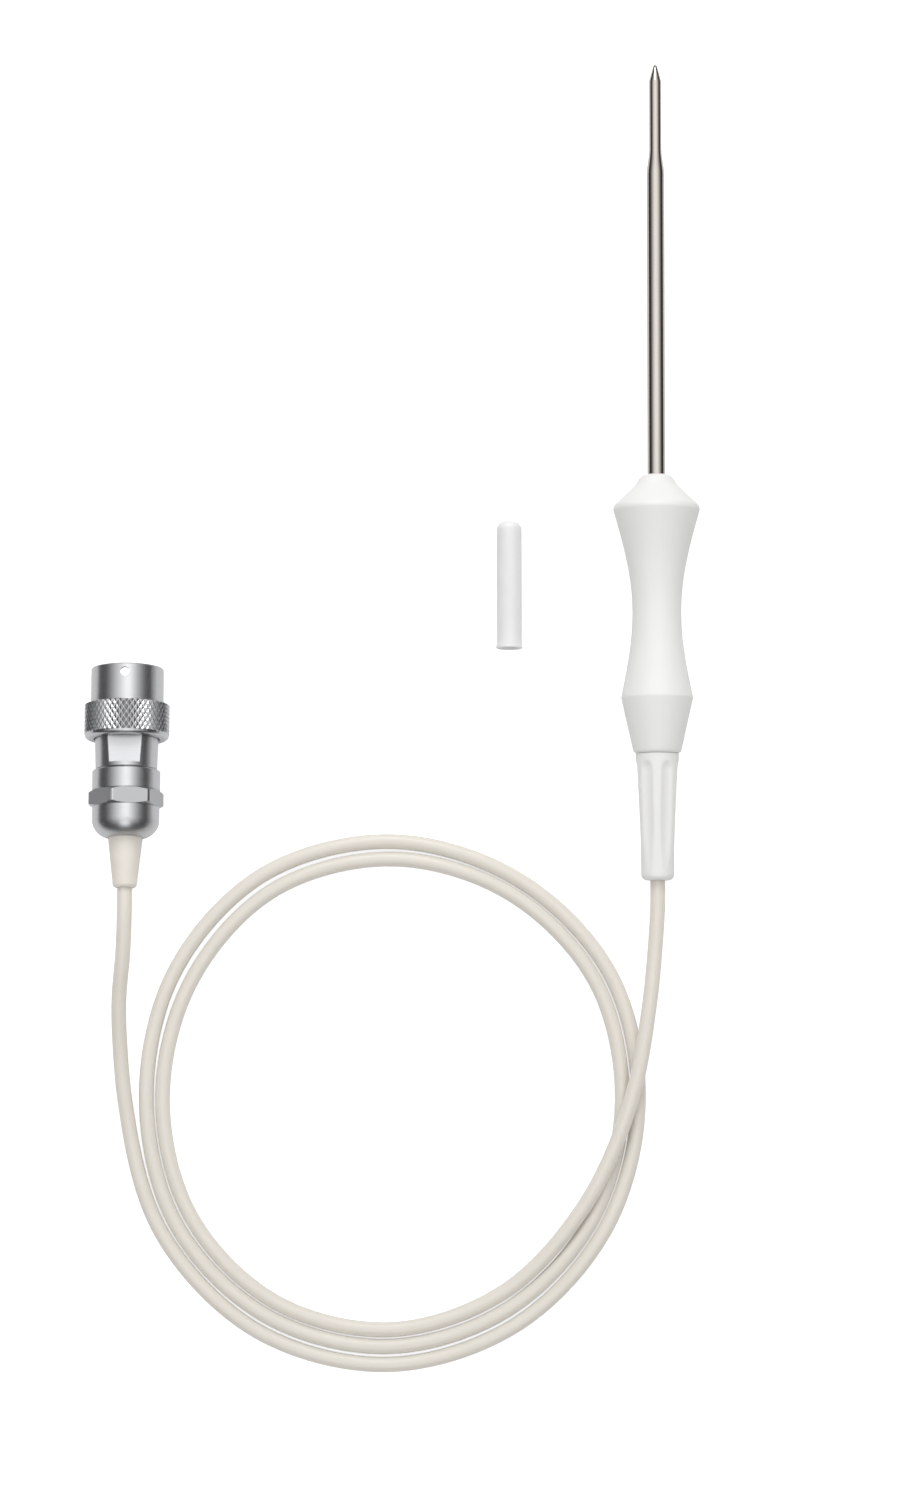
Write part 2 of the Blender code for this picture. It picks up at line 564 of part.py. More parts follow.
def make_coupling(parent):
    rim, rear_bore, rib = SLEEVE_LENGTH, BODY_FRONT_RADIUS + CLEARANCE, BARREL_RADIUS + CLEARANCE
    band_end = KNURL_START + KNURL_ROWS * KNURL_HALF_PITCH
    outline = [(rim, SLEEVE_BORE), (rim, SLEEVE_RADIUS - EDGE), (rim - EDGE, SLEEVE_RADIUS), (0, SLEEVE_RADIUS),
               (0, BAND_RADIUS - KNURL_DEPTH)]
    outline += [(-KNURL_START - KNURL_HALF_PITCH * i, BAND_RADIUS) for i in range(KNURL_ROWS + 1)]
    outline += [(-band_end - EDGE, BAND_RADIUS - EDGE / 2), (-BAND_LENGTH, BAND_RADIUS - REAR_CHAMFER),
                (-BAND_LENGTH, rear_bore), (-RIB_REAR, rear_bore), (-RIB_REAR, rib), (-RIB_BACK, rib),
                (-RIB_BACK, SLEEVE_BORE)]
    coupling = turned("coupling_ring", outline, parent, NICKEL, 2 * KNURLS)
    knurl(coupling.data)
    window_z = SLEEVE_LENGTH - WINDOW_BACK
    for index in range(WINDOWS):
        angle = 360 / WINDOWS * index
        run = [around(angle, SLEEVE_BORE - OVERSHOOT, window_z), around(angle, SLEEVE_RADIUS + OVERSHOOT, window_z)]
        cut(coupling, wire_cutter(f"window_tool_{index + 1}", run, WINDOW_RADIUS, parent))

        # A bayonet groove runs in from the rim and then round and up to the window
        centre = SLEEVE_BORE + GROOVE_DEPTH - GROOVE_RADIUS
        entry = angle - GROOVE_TURN
        turn_z = window_z - GROOVE_RISE
        run = [around(entry, centre, rim + OVERSHOOT), around(entry, centre, turn_z)]
        run += [around(entry + GROOVE_TURN * t, centre, turn_z + GROOVE_RISE * t) for t in (0.25, 0.5, 0.75, 1)]
        cut(coupling, wire_cutter(f"bayonet_tool_{index + 1}", run, GROOVE_RADIUS, parent))


def make_plug_body(parent):
    snap_front, snap_rear = RIB_BACK - CLEARANCE - SNAP_RING_LENGTH, RIB_BACK - CLEARANCE
    groove = BARREL_RADIUS - SNAP_RING_GROOVE
    step = INSERT_REAR + CLEARANCE
    outline = [
        (BARREL_FRONT, BARREL_BORE), (BARREL_FRONT, BARREL_RADIUS - EDGE), (BARREL_FRONT - EDGE, BARREL_RADIUS),
        (CLEARANCE / 2 - snap_front, BARREL_RADIUS), (CLEARANCE / 2 - snap_front, groove),
        (-snap_rear - CLEARANCE / 2, groove), (-snap_rear - CLEARANCE / 2, BARREL_RADIUS),
        (-BODY_SHOULDER, BARREL_RADIUS), (-BODY_SHOULDER, BODY_FRONT_RADIUS), (-BODY_REAR, BODY_REAR_RADIUS),
        (-BODY_REAR, THREAD_RADIUS), (-BODY_TAIL, THREAD_RADIUS), (-BODY_TAIL, CAVITY_RADIUS),
        (-step, CAVITY_RADIUS), (-step, BARREL_BORE),
    ]
    body = turned("plug_body", outline, parent, NICKEL, SEGMENTS_LARGE)
    for side in (-1, 1):
        height, front = BODY_FRONT_RADIUS, BODY_SHOULDER - OVERSHOOT
        cut(body, box_cutter(f"wrench_flat_tool_{side + 2}", (2 * height, height, FLAT_REAR - front),
                             (0, side * (FLAT_DISTANCE + height / 2), -(FLAT_REAR + front) / 2), parent))

    snap = ring("retaining_ring", snap_front, snap_rear, groove + CLEARANCE / 2,
                SLEEVE_BORE - CLEARANCE, parent, STEEL)
    gap = (SNAP_RING_GAP, 2 * OVERSHOOT, 2 * OVERSHOOT)
    cut(snap, box_cutter("snap_gap_tool", gap, (0, SLEEVE_BORE, -snap_front), parent, math.pi))
    ring("ring_spring", RIB_REAR + CLEARANCE, SPRING_REAR, BARREL_RADIUS + CLEARANCE, BODY_FRONT_RADIUS,
         parent, STEEL)
    ring("front_gasket", snap_front - CLEARANCE - GASKET_LENGTH, snap_front - CLEARANCE,
         BARREL_RADIUS + CLEARANCE / 2, SLEEVE_BORE - CLEARANCE, parent, RUBBER)


def make_contacts(parent):
    insert = ring("contact_insert", -INSERT_FRONT, INSERT_REAR, 0, BARREL_BORE - CLEARANCE, parent, BLACK)
    for index in range(PINS):
        angle = PIN_TURN + 360 / PINS * index
        front, rear = INSERT_FRONT + OVERSHOOT, -INSERT_REAR - OVERSHOOT
        run = [around(angle, PIN_CIRCLE, front), around(angle, PIN_CIRCLE, rear)]
        cut(insert, wire_cutter(f"pin_bore_{index + 1}", run, PIN_RADIUS + CLEARANCE, parent))
        x, y, _ = around(angle, PIN_CIRCLE, 0)
        outline = [(PIN_FRONT, 0), (PIN_FRONT - PIN_RADIUS / 2, PIN_RADIUS), (-PIN_REAR, PIN_RADIUS), (-PIN_REAR, 0)]
        pin = turned(f"contact_pin_{index + 1}", outline, parent, GOLD, SEGMENTS_TINY)
        pin.location = Vector((x, y, 0)) * MM
    for side, name in ((-1, "positive"), (1, "negative")):
        core = Vector((side * CORE_SPREAD, 0, PLUG_TAIL - BODY_TAIL + CLEARANCE))
        pin = Vector(around(side * PIN_TURN, PIN_CIRCLE, -PIN_REAR - CLEARANCE))
        bend = Vector((0, 0, BEND))
        wire(f"plug_{name}_wire", [core, core + bend, pin - bend, pin], CORE_RADIUS, parent, COPPER, 1)


def make_clamp(parent):
    hole, thread_bore = BOOT_FRONT_RADIUS + CLEARANCE, THREAD_RADIUS + CLEARANCE
    flange_bore = BOOT_FLANGE_RADIUS + CLEARANCE
    flange_front = BOOT_FLANGE_REAR - BOOT_FLANGE_LENGTH
    washer_front = BODY_TAIL + CLEARANCE
    clamp_front = washer_front + WASHER_LENGTH + CLEARANCE
    clamp_rear = flange_front - CLEARANCE
    step = washer_front + WASHER_LENGTH + CLEARANCE / 2
    dome = arc(DOME_ROUND_LENGTH - NUT_REAR, DOME_RADIUS - DOME_ROUND_HEIGHT, DOME_ROUND_LENGTH,
               DOME_ROUND_HEIGHT, 0, DOME_ROLL, 7)
    hole_edge = dome[-1][0]
    nut = [
        (-NUT_FRONT, thread_bore), (-NUT_FRONT, COLLAR_RADIUS - EDGE / 2), (-NUT_FRONT - EDGE / 2, COLLAR_RADIUS),
        (-HEX_FRONT, COLLAR_RADIUS), (-HEX_FRONT, HEX_CORNER_RADIUS - EDGE),
        (-HEX_FRONT - EDGE / 2, HEX_CORNER_RADIUS), (-HEX_REAR + EDGE / 2, HEX_CORNER_RADIUS),
        (-HEX_REAR, HEX_CORNER_RADIUS - EDGE), (-HEX_REAR, DOME_RADIUS),
    ] + dome + [(hole_edge, hole), (NUT_END_WALL - NUT_REAR, hole), (NUT_END_WALL - NUT_REAR, flange_bore),
                (-step, flange_bore), (-step, thread_bore)]
    clamp_nut = turned("clamp_nut", nut, parent, NICKEL, SEGMENTS_LARGE)
    for index in range(6):
        height = HEX_CORNER_RADIUS
        cut(clamp_nut, box_cutter(f"hex_flat_tool_{index + 1}", (2 * height, height, HEX_LENGTH),
                                  (0, HEX_FLAT_DISTANCE + height / 2, -(HEX_FRONT + HEX_REAR) / 2), parent,
                                  math.radians(HEX_TURN + 60 * index)))

    bore = CABLE_RADIUS + CLEARANCE
    ring("clamp_washer", washer_front, washer_front + WASHER_LENGTH, bore, thread_bore - CLEARANCE, parent, STEEL)
    clamp = ring("cable_clamp", clamp_front, clamp_rear, bore, flange_bore - CLEARANCE, parent, BLACK)
    slit = (CLAMP_SLIT, flange_bore, 2 * (clamp_rear - clamp_front) + 2 * OVERSHOOT)
    cut(clamp, box_cutter("clamp_slit_tool", slit, (0, flange_bore / 2, -clamp_front), parent))

    end = arc(BOOT_ROUND - BOOT_REAR, BOOT_REAR_RADIUS - BOOT_ROUND, BOOT_ROUND, BOOT_ROUND, TAPER, 90, 3)
    boot = [(-flange_front, bore), (-flange_front, BOOT_FLANGE_RADIUS), (-BOOT_FLANGE_REAR, BOOT_FLANGE_RADIUS),
            (-BOOT_FLANGE_REAR, BOOT_FRONT_RADIUS), (-NUT_REAR, BOOT_FRONT_RADIUS)] + end + [(-BOOT_REAR, bore)]
    turned("plug_boot", boot, parent, IVORY, SEGMENTS_SMALL)


def make_cap(parent):
    dome = arc(-CAP_ROUND, CAP_RADIUS - CAP_ROUND, CAP_ROUND, CAP_ROUND, -90, 0, 5)
    outline = [(0, 0)] + dome + [
        (CAP_FLARE_LENGTH - CAP_LENGTH, CAP_RADIUS), (CAP_LIP - CAP_LENGTH, CAP_FLARE_RADIUS),
        (-CAP_LENGTH, CAP_FLARE_RADIUS), (-CAP_LENGTH, CAP_BORE + EDGE), (CAP_LIP - CAP_LENGTH, CAP_BORE),
        (-CAP_END_WALL - CAP_BORE / 2, CAP_BORE), (-CAP_END_WALL, CAP_BORE / 2), (-CAP_END_WALL, 0),
    ]
    turned("tip_cap", outline, parent, CLEAR_WHITE, SEGMENTS_SMALL)


for old in list(bpy.data.objects):
    bpy.data.objects.remove(old)

PARTS = new_collection("thermocouple_probe")
CUTTERS = new_collection("cutters")
STEEL = material("polished_stainless", "D4D1CC", 0.16, 1.0)
NICKEL = material("satin_nickel", "BFC2C6", 0.34, 1.0)
ALLOY = material("thermocouple_alloy", "9A948C", 0.4, 1.0)
COPPER = material("tinned_copper", "B9A99A", 0.4, 1.0)
GOLD = material("gilt_contact", "D8B866", 0.3, 1.0)
WHITE = material("white_moulding", "EDEDEA", 0.42)
IVORY = material("ivory_moulding", "E6DFD2", 0.45)
JACKET = material("cable_jacket", "E7E1D6", 0.4)
CLEAR_WHITE = material("soft_cap", "ECECEC", 0.5)
CERAMIC = material("alumina", "EFE9DC", 0.6)
BLACK = material("black_moulding", "202022", 0.5)
RUBBER = material("black_rubber", "1A1A1A", 0.8)

PROBE = frame("probe_axis", (PROBE_X, NOSE_Y, SHOULDER_HEIGHT + SHOULDER_BACK * math.sin(PROBE_TILT)), PROBE_TILT)
CAP = frame("cap_axis", (CAP_X, CAP_TOP_Y, CAP_RADIUS * math.cos(CAP_TILT) - CAP_ROUND * math.sin(CAP_TILT)),
            -CAP_TILT)
LEAN = math.radians(PLUG_PITCH)
PLUG = frame("plug_axis", (PLUG_X, PLUG_Y, BAND_RADIUS * math.cos(LEAN) - KNURL_START * math.sin(LEAN)), -LEAN)

make_stem(PROBE)
make_thermocouple(PROBE)
make_handle(PROBE)
make_strain_relief(PROBE)
make_coupling(PLUG)
make_plug_body(PLUG)
make_contacts(PLUG)
make_clamp(PLUG)
make_cap(CAP)
make_cable(PROBE, PLUG)
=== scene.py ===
"""A handheld penetration temperature probe, with its cable, bayonet plug and tip cap, laid on a pale floor.

Each visible piece is a surface worked out as a whole grid of points, in millimetres along the piece's own
axis, and set in its place in metres. Turned pieces are outlines of (z, radius), +z towards the stem's point
or the plug's mouth, carried round the axis. An angle round an axis starts at the top and grows to the right.
"""

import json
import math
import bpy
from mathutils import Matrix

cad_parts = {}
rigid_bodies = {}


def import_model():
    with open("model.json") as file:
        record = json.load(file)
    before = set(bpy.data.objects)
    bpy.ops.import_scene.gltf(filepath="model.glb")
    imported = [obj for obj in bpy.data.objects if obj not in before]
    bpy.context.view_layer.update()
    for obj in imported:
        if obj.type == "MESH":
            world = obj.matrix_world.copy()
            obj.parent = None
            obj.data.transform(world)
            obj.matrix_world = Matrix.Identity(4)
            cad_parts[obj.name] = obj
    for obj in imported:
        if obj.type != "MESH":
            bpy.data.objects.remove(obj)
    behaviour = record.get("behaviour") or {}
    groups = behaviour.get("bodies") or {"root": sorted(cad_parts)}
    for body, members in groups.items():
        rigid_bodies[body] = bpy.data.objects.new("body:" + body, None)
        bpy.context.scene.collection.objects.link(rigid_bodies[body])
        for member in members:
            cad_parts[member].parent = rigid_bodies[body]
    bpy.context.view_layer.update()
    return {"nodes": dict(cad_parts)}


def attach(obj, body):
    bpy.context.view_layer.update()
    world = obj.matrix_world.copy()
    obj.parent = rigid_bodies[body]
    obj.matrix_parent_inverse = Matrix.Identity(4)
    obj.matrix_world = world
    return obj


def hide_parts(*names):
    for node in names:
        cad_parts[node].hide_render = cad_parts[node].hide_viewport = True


bl_info = {
    "name": "Penetration Temperature Probe",
    "version": (1, 0, 0),
    "blender": (4, 5, 0),
    "location": "View3D > Sidebar > Probe",
    "description": "Builds a temperature probe with a moulded grip, a looped cable and a bayonet plug",
    "category": "Add Mesh",
}

import bmesh
import bpy
import numpy as np
from bpy.props import FloatProperty, FloatVectorProperty, IntProperty, PointerProperty
from mathutils import Vector

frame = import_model()

MM = 0.001
CLEARANCE = 0.3  # between pieces that fit together
EDGE = 0.3  # small chamfers
OVERSHOOT = 1.5  # how far a drill runs past the wall that it cuts

# Where the three things lie: a point on the axis in millimetres, and the axis's rise in radians
PROBE_PLACE = ((16.25, -1.35, 12.4179), 0.039113)
PLUG_PLACE = ((-130.4, -65.65, 11.7421), math.radians(-3.9))
CAP_PLACE = ((-24.57, -12.9, 3.4834), -0.0068657)

# The cable's route, the same points as the solid that it stands for. Round its two and a half loops there is
# a point every LOOP_STEP degrees from LOOP_START, each at its own distance from the loops' centre
LOOP_CENTRE = (-57.2, -174.6)
LOOP_START = 180.0
LOOP_STEP = 30.0
LOOP_RADII = (
    73.6, 72.9, 72.9, 72.0, 70.1, 68.5, 68.1, 69.9, 70.6, 71.9, 72.2, 70.0,
    67.8, 68.3, 68.1, 67.1, 65.3, 64.0, 63.6, 65.3, 66.1, 67.0, 67.0, 64.7,
    63.3, 63.7, 63.6, 62.5, 60.7, 60.2, 65.9,
)
FIRST_LIFT = 0.9  # of the cable's middle, where it comes down from the plug
LAST_LIFTS = (2.5, 4.6)  # where it climbs over both loops
PLUG_STRAND = ((-130.8, -133.0, 14.2), (-132.2, -147.5, 9.6), (-132.0, -161.5, 5.2))
HANDLE_STRAND = ((13.8, -148.6, 7.3), (15.6, -131.0, 7.3))
STRAIGHT_OUT = 6.0  # how far the cable runs straight on from each end
CABLE_INSIDE = 4.0  # how far the cable is drawn inside the boot and the strain relief

# The grip and the strain relief behind it, in millimetres
STEM_FIT = 0.04  # between the stem and its hole in the grip
CHAMBER_FRONT = 36.0  # from the grip's nose back to its hollow
CHAMBER_RADIUS = 4.4  # of that hollow
SHOULDER_ROUND = 2.2
BULGE_ROUND = 1.5
TAIL_ROUND = 1.1
SPIGOT_LENGTH = 11.0  # of the relief, inside the grip
RELIEF_ROUND = 1.5
FLUTE_TURN = math.radians(26.0)  # of the first flute's middle, from the top
FLUTE_START = 2.4  # behind the grip, as the next
FLUTE_END = 31.0
SCOOP = 4.2  # radius of the flutes' cross-section
FLUTE_FADE = 0.45  # the rear share of a flute, over which it runs out
FLUTE_BLEND = 0.35  # how softly a flute's edges run into the cone

# The stem's inside and the tip cap
JUNCTION_BACK = 5.3  # from the stem's point back to the end of its hollow
CAP_BORE = 2.65
CAP_ROUND = 2.4
CAP_FLARE = 0.2  # of the cap's mouth

# Places along the plug, behind the front of the knurled band, as in the solids
INSERT_BACK = 6.5  # the end of the body's bore for the insert
BODY_SHOULDER = 8.4
BODY_REAR = 18.3
BODY_TAIL = 29.5  # of the threaded tail, inside the nut
FLAT_REAR = 17.1
NUT_FRONT = 18.6
HEX_FRONT = 24.2
HEX_REAR = 28.7
HEX_TURN = math.radians(11.4)  # of a flat's middle, from the top
NUT_SEAT = 30.0  # where the nut's thread ends
NUT_REAR = 37.3
BOOT_FRONT = 33.7
BOOT_STEP = 35.5  # where the boot's flange, held inside the nut, ends
PIN_REAR = 8.6

# Places in front of it
SPIGOT_FRONT = 7.0
PIN_FRONT = 8.8

# The plug's radii and other small sizes
THREAD_RADIUS = 7.6
INSERT_BORE = 6.6
TAIL_BORE = 5.6
NUT_BORE = 6.9
NUT_CHAMFER = 0.62
NUT_WALL = 1.5  # of its domed end
DOME_LENGTH, DOME_HEIGHT = 4.9, 5.5  # half axes of the dome's ellipse, along and across the plug
BOOT_FLANGE = 6.6
PINS = 4
PIN_RADIUS = 0.5
PIN_CIRCLE = 3.2
SLEEVE_ROOT = 1.0  # how far the sleeve runs on inside the knurled band
WINDOWS = 3
WINDOW_BACK = 2.4  # behind the sleeve's rim
NEAR_AXIS = (0.13, 0.99, 0.07)  # a direction near the plug's axis, across every window's drill
GROOVE_RADIUS = 1.1
GROOVE_DEPTH = 0.9
GROOVE_TURN = 40.0  # degrees from a groove's entry round to its window
GROOVE_RISE = 2.2  # along the axis over that turn
KNURL_START = 0.25  # behind the band's front
KNURL_END = 1.35  # in front of its rear
KNURL_ROWS = 7
KNURL_STEPS, KNURL_COLUMNS = 6, 14  # of the grid along each row and round each crossing
RIB_BACK = 5.4  # the rib inside the band, behind its front
RIB_LENGTH = 1.6
REAR_CHAMFER = 1.2  # of the band
# Milled faces have their colour painted darker by this share: a painted shade for the dimmer reflection of
# their flats
MILLED_PAINTED_SHADE = 0.74  # of milled faces beside turned ones

# The stage, in metres and degrees
FLOOR_SIZE = 3.0
LAMPS = (  # name, place, diameter and power in watts
    ("soft_lamp", (-0.04, 0.76, 0.7), 0.5, 4.6),
    ("low_lamp", (-0.1, -0.95, 0.95), 0.7, 2.0),
)
LOOK_AT = (-0.04058, -0.0769, 0.0)
CAMERA_ELEVATION = 84.0
CAMERA_DISTANCE = 1.15
SENSOR = 36.0
CAMERA_LENS = 98.88
TOP_LEAN = math.radians(12.0)  # of the brightest place overhead, towards the point
BRIGHT_TO = math.radians(3.0)  # the room is bright this far round it, and dim from the second angle on
DIM_FROM = math.radians(76.0)
BRIGHT_TOP, DIM_SIDE = 1.13, 0.35
MIRRORED_TOP, MIRRORED_SIDE = 1.58, 0.055
FLOOR_SHADE = 0.78
FLOOR_GLOW = 0.74
MIRRORED_GLOW = 0.27  # the share of it that reflections show
FLOOR_GLOSS = (0.7, 0.86)  # Layer Weight's Facing where the floor's gloss begins and where it is full


def linear(colour):
    """An sRGB hex colour as linear red, green and blue."""
    parts = [int(colour[i:i + 2], 16) / 255 for i in (0, 2, 4)]
    return tuple(c / 12.92 if c <= 0.04045 else ((c + 0.055) / 1.055) ** 2.4 for c in parts)


def length(label, text, millimetres):
    """A length that a user can change."""
    return FloatProperty(name=label, description=text, default=millimetres * MM, min=0.0, precision=5,
                         subtype="DISTANCE", unit="LENGTH")


def colour(label, text, value):
    """A colour that a user can change."""
    return FloatVectorProperty(name=label, description=text, default=linear(value), size=3, min=0.0,
                               max=1.0, subtype="COLOR")


class ProbeSizes(bpy.types.PropertyGroup):
    """Sizes of the stem, the grip, the strain relief, the tip cap and the cable"""
    stem_length: length("Stem length", "From the grip's nose to the stem's point", 115.5)
    stem_radius: length("Stem radius", "Outer radius of the stem", 2.5)
    stem_wall: length("Stem wall", "Wall of the stem's tube", 0.4)
    stem_seat: length("Stem seat", "Length of stem held inside the grip", 44.0)
    tip_radius: length("Tip radius", "Radius of the stem's reduced end", 1.75)
    tip_length: length("Tip length", "Length of the reduced end, with its point", 23.8)
    point_length: length("Point length", "Length of the ground point", 4.7)
    point_radius: length("Point radius", "Radius of the blunt point", 0.55)
    swage_length: length("Swage length", "Length over which the stem is reduced", 7.5)
    nose_radius: length("Nose radius", "Radius of the grip's flat nose", 4.0)
    lip_radius: length("Lip radius", "Radius of the lip behind the nose", 5.5)
    shoulder_radius: length("Shoulder radius", "Largest radius of the grip", 12.05)
    shoulder_back: length("Shoulder distance", "From the nose back to the shoulder", 9.6)
    waist_radius: length("Waist radius", "Smallest radius of the grip", 6.8)
    waist_back: length("Waist distance", "From the nose back to the waist", 38.2)
    bulge_radius: length("Bulge radius", "Radius of the grip's rear bulge", 10.0)
    bulge_back: length("Bulge distance", "From the nose back to the bulge", 62.0)
    tail_radius: length("Tail radius", "Radius of the grip's rear end", 6.75)
    handle_length: length("Grip length", "From the nose to the rear end", 77.5)
    relief_length: length("Relief length", "Visible length of the strain relief", 35.2)
    relief_front: length("Relief front radius", "Radius of the strain relief at the grip", 6.0)
    relief_rear: length("Relief rear radius", "Radius of the strain relief at the cable", 4.55)
    flutes: IntProperty(name="Flutes", description="Flutes round the strain relief", default=6, min=0)
    flute_depth: length("Flute depth", "Depth of each flute", 0.62)
    cap_radius: length("Cap radius", "Outer radius of the tip cap", 3.5)
    cap_length: length("Cap length", "Length of the tip cap", 35.9)
    cable_radius: length("Cable radius", "Radius of the cable", 2.1)


class PlugSizes(bpy.types.PropertyGroup):
    """Sizes of the plug's pieces"""
    sleeve_radius: length("Sleeve radius", "Outer radius of the coupling's sleeve", 10.05)
    sleeve_length: length("Sleeve length", "Length of the sleeve in front of the band", 10.1)
    sleeve_bore: length("Sleeve bore", "Inner radius of the sleeve", 8.9)
    band_radius: length("Band radius", "Radius over the knurled band", 11.8)
    band_length: length("Band length", "Length of the knurled band", 9.7)
    knurls: IntProperty(name="Knurls", description="Crossings round the knurled band", default=52, min=8)
    knurl_depth: length("Knurl depth", "Depth of the knurl", 0.3)
    window_radius: length("Window radius", "Radius of the coupling's round windows", 1.25)
    body_front: length("Body front radius", "Radius of the plug body at the coupling", 8.8)
    body_rear: length("Body rear radius", "Radius of the plug body at the nut", 8.45)
    flat_distance: length("Flat distance", "From the axis to each wrench flat", 7.4)
    collar_radius: length("Collar radius", "Radius of the nut's collar", 9.35)
    hex_corner: length("Hexagon radius", "Radius over the nut's corners", 10.4)
    hex_flat: length("Hexagon distance", "From the axis to each of the nut's flats", 9.2)
    dome_radius: length("Dome radius", "Radius of the nut's domed end", 9.25)
    boot_front: length("Boot front radius", "Radius of the boot at the nut", 4.75)
    boot_rear: length("Boot rear radius", "Radius of the boot at the cable", 3.35)
    boot_length: length("Boot length", "Visible length of the boot", 13.7)


class Finishes(bpy.types.PropertyGroup):
    """Colours of the visible pieces and the floor"""
    steel: colour("Steel", "Polished stainless steel", "BFB9B3")
    nickel: colour("Nickel", "Satin nickel plating", "BFC0C2")
    moulding: colour("Grip", "White moulded plastic", "EFEFED")
    cap: colour("Cap", "Soft pale plastic", "ECECEC")
    boot: colour("Boot", "Ivory moulded plastic", "ECE6DD")
    jacket: colour("Cable", "Off-white cable jacket", "E4DFD6")
    floor: colour("Floor", "Floor and backdrop", "FFFFFF")


def arc(centre_z, centre_radius, long, high, start, end, steps):
    """Points of (z, radius) on an ellipse's arc: z = centre - long sin t, radius = centre + high cos t, with
    t in degrees from straight out, growing to the rear."""
    t = np.radians(np.linspace(start, end, steps + 1))
    return np.column_stack([centre_z - long * np.sin(t), centre_radius + high * np.cos(t)])


def rounded(centre_z, top, radius, start, end, steps):
    """Points of (z, radius) on a round edge: an arc of one radius whose highest point is at top."""
    return arc(centre_z, top - radius, radius, radius, start, end, steps)


def outline(*parts, step=None):
    """Joins points and arcs of (z, radius) into one outline. With a step, each straight run gets a point
    every step millimetres."""
    points = np.vstack([np.atleast_2d(part) for part in parts])
    if step is None:
        return points
    runs = [points[:1]]
    for start, end in zip(points[:-1], points[1:]):
        count = max(1, math.ceil(np.linalg.norm(end - start) / step))
        runs.append(start + (end - start) * np.linspace(0, 1, count + 1)[1:, None])
    return np.vstack(runs)


def smooth_path(points, steps):
    """A smooth curve through the points: cubic pieces whose slope at each point is that of the parabola
    through it and its neighbours, with the distance between points as the parameter."""
    path = np.array(points, float)
    gaps = np.linalg.norm(np.diff(path, axis=0), axis=1)[:, None]
    slopes = np.diff(path, axis=0) / gaps
    middle = (slopes[:-1] * gaps[1:] + slopes[1:] * gaps[:-1]) / (gaps[:-1] + gaps[1:])
    tangents = np.vstack([slopes[:1], middle, slopes[-1:]])
    t = np.linspace(0, 1, steps, endpoint=False)[None, :, None]
    start, end, gap = path[:-1, None], path[1:, None], gaps[:, None]
    leave, arrive = tangents[:-1, None], tangents[1:, None]
    curve = ((2 * t**3 - 3 * t**2 + 1) * start + (3 * t**2 - 2 * t**3) * end
             + gap * ((t**3 - 2 * t**2 + t) * leave + (t**3 - t**2) * arrive))
    return np.vstack([curve.reshape(-1, path.shape[1]), path[-1:]])


def grid_mesh(name, grid, along, closed=False):
    """A mesh over a grid of points, (rows, columns, 3) in metres, each joined to its neighbours. Columns
    close round, and rows too where closed. The UV map is (turn, millimetres along the rows). Points that
    fall together, as on an axis, are merged, so poles are closed."""
    rows, columns = grid.shape[:2]
    row = np.arange(rows if closed else rows - 1)[:, None, None] + np.array([0, 1, 1, 0])
    column = np.arange(columns)[None, :, None] + np.array([0, 0, 1, 1])
    row, column = np.broadcast_arrays(row, column)
    faces = (row % rows) * columns + column % columns
    mesh = bpy.data.meshes.new(name)
    mesh.from_pydata(grid.reshape(-1, 3).tolist(), [], faces.reshape(-1, 4).tolist())
    uv = np.stack([column / columns, along[row % rows]], -1)
    mesh.uv_layers.new(name="UVMap").data.foreach_set("uv", uv.ravel().astype(np.float32))
    work = bmesh.new()
    work.from_mesh(mesh)
    bmesh.ops.remove_doubles(work, verts=work.verts, dist=1e-7)
    work.to_mesh(mesh)
    work.free()
    return mesh


def placed(points, place):
    """Points along a lying piece's axis, in millimetres, turned and moved to their place in metres. The
    turn about X by the rise less a right angle takes +z to +Y and -y to the top."""
    (x, y, z), rise = place
    turn = rise - math.pi / 2
    c, s = math.cos(turn), math.sin(turn)
    matrix = np.array([[1, 0, 0], [0, c, -s], [0, s, c]])
    return (points @ matrix.T + np.array([x, y, z])) * MM


def travelled(line):
    """The distance along a line at each of its points: the running sum of the gaps between them."""
    return np.concatenate([[0], np.cumsum(np.linalg.norm(np.diff(line, axis=0), axis=1))])


def turned(name, line, place, columns=96, form=None, closed=True, aside=(0.0, 0.0)):
    """A surface of revolution: at each outline point (z, r) and angle a round the axis, x = r sin a and
    y = -r cos a. A form takes whole arrays of z, a and r and gives new radii. Closed joins the outline's end
    to its start, as on a hollow piece. Aside moves the piece's axis off the place's axis."""
    z, radius = np.asarray(line, float).T
    angle = np.arange(columns) * 2 * math.pi / columns
    z, angle = np.meshgrid(z, angle, indexing="ij")
    radius = np.repeat(radius[:, None], columns, 1)
    if form is not None:
        radius = form(z, angle, radius)
    grid = np.stack([radius * np.sin(angle) + aside[0], aside[1] - radius * np.cos(angle), z], -1)
    return grid_mesh(name, placed(grid, place), travelled(line), closed)


def tube(name, path, radius, up, sides=16):
    """A circle carried along a path: at each point the circle lies across the path's direction d, with one
    radius along d x up and the other across both. Both ends close on their middle."""
    path = np.asarray(path, float)
    ahead = np.gradient(path, axis=0)
    ahead /= np.linalg.norm(ahead, axis=1)[:, None]
    side = np.cross(ahead, up)
    side /= np.linalg.norm(side, axis=1)[:, None]
    top = np.cross(side, ahead)
    angle = np.arange(sides) * 2 * math.pi / sides
    ring = side[:, None] * np.cos(angle)[:, None] + top[:, None] * np.sin(angle)[:, None]
    grid = path[:, None] + radius * ring
    ends = np.repeat(path[[0, -1], None], sides, 1)
    grid = np.concatenate([ends[:1], grid, ends[1:]])
    along = travelled(path)
    along = np.concatenate([along[:1], along, along[-1:]]) / MM
    return grid_mesh(name, grid, along)


def around(angle, radius, z):
    """A point at an angle in degrees from the top, in the axis's own millimetres."""
    return (radius * math.sin(math.radians(angle)), -radius * math.cos(math.radians(angle)), z)


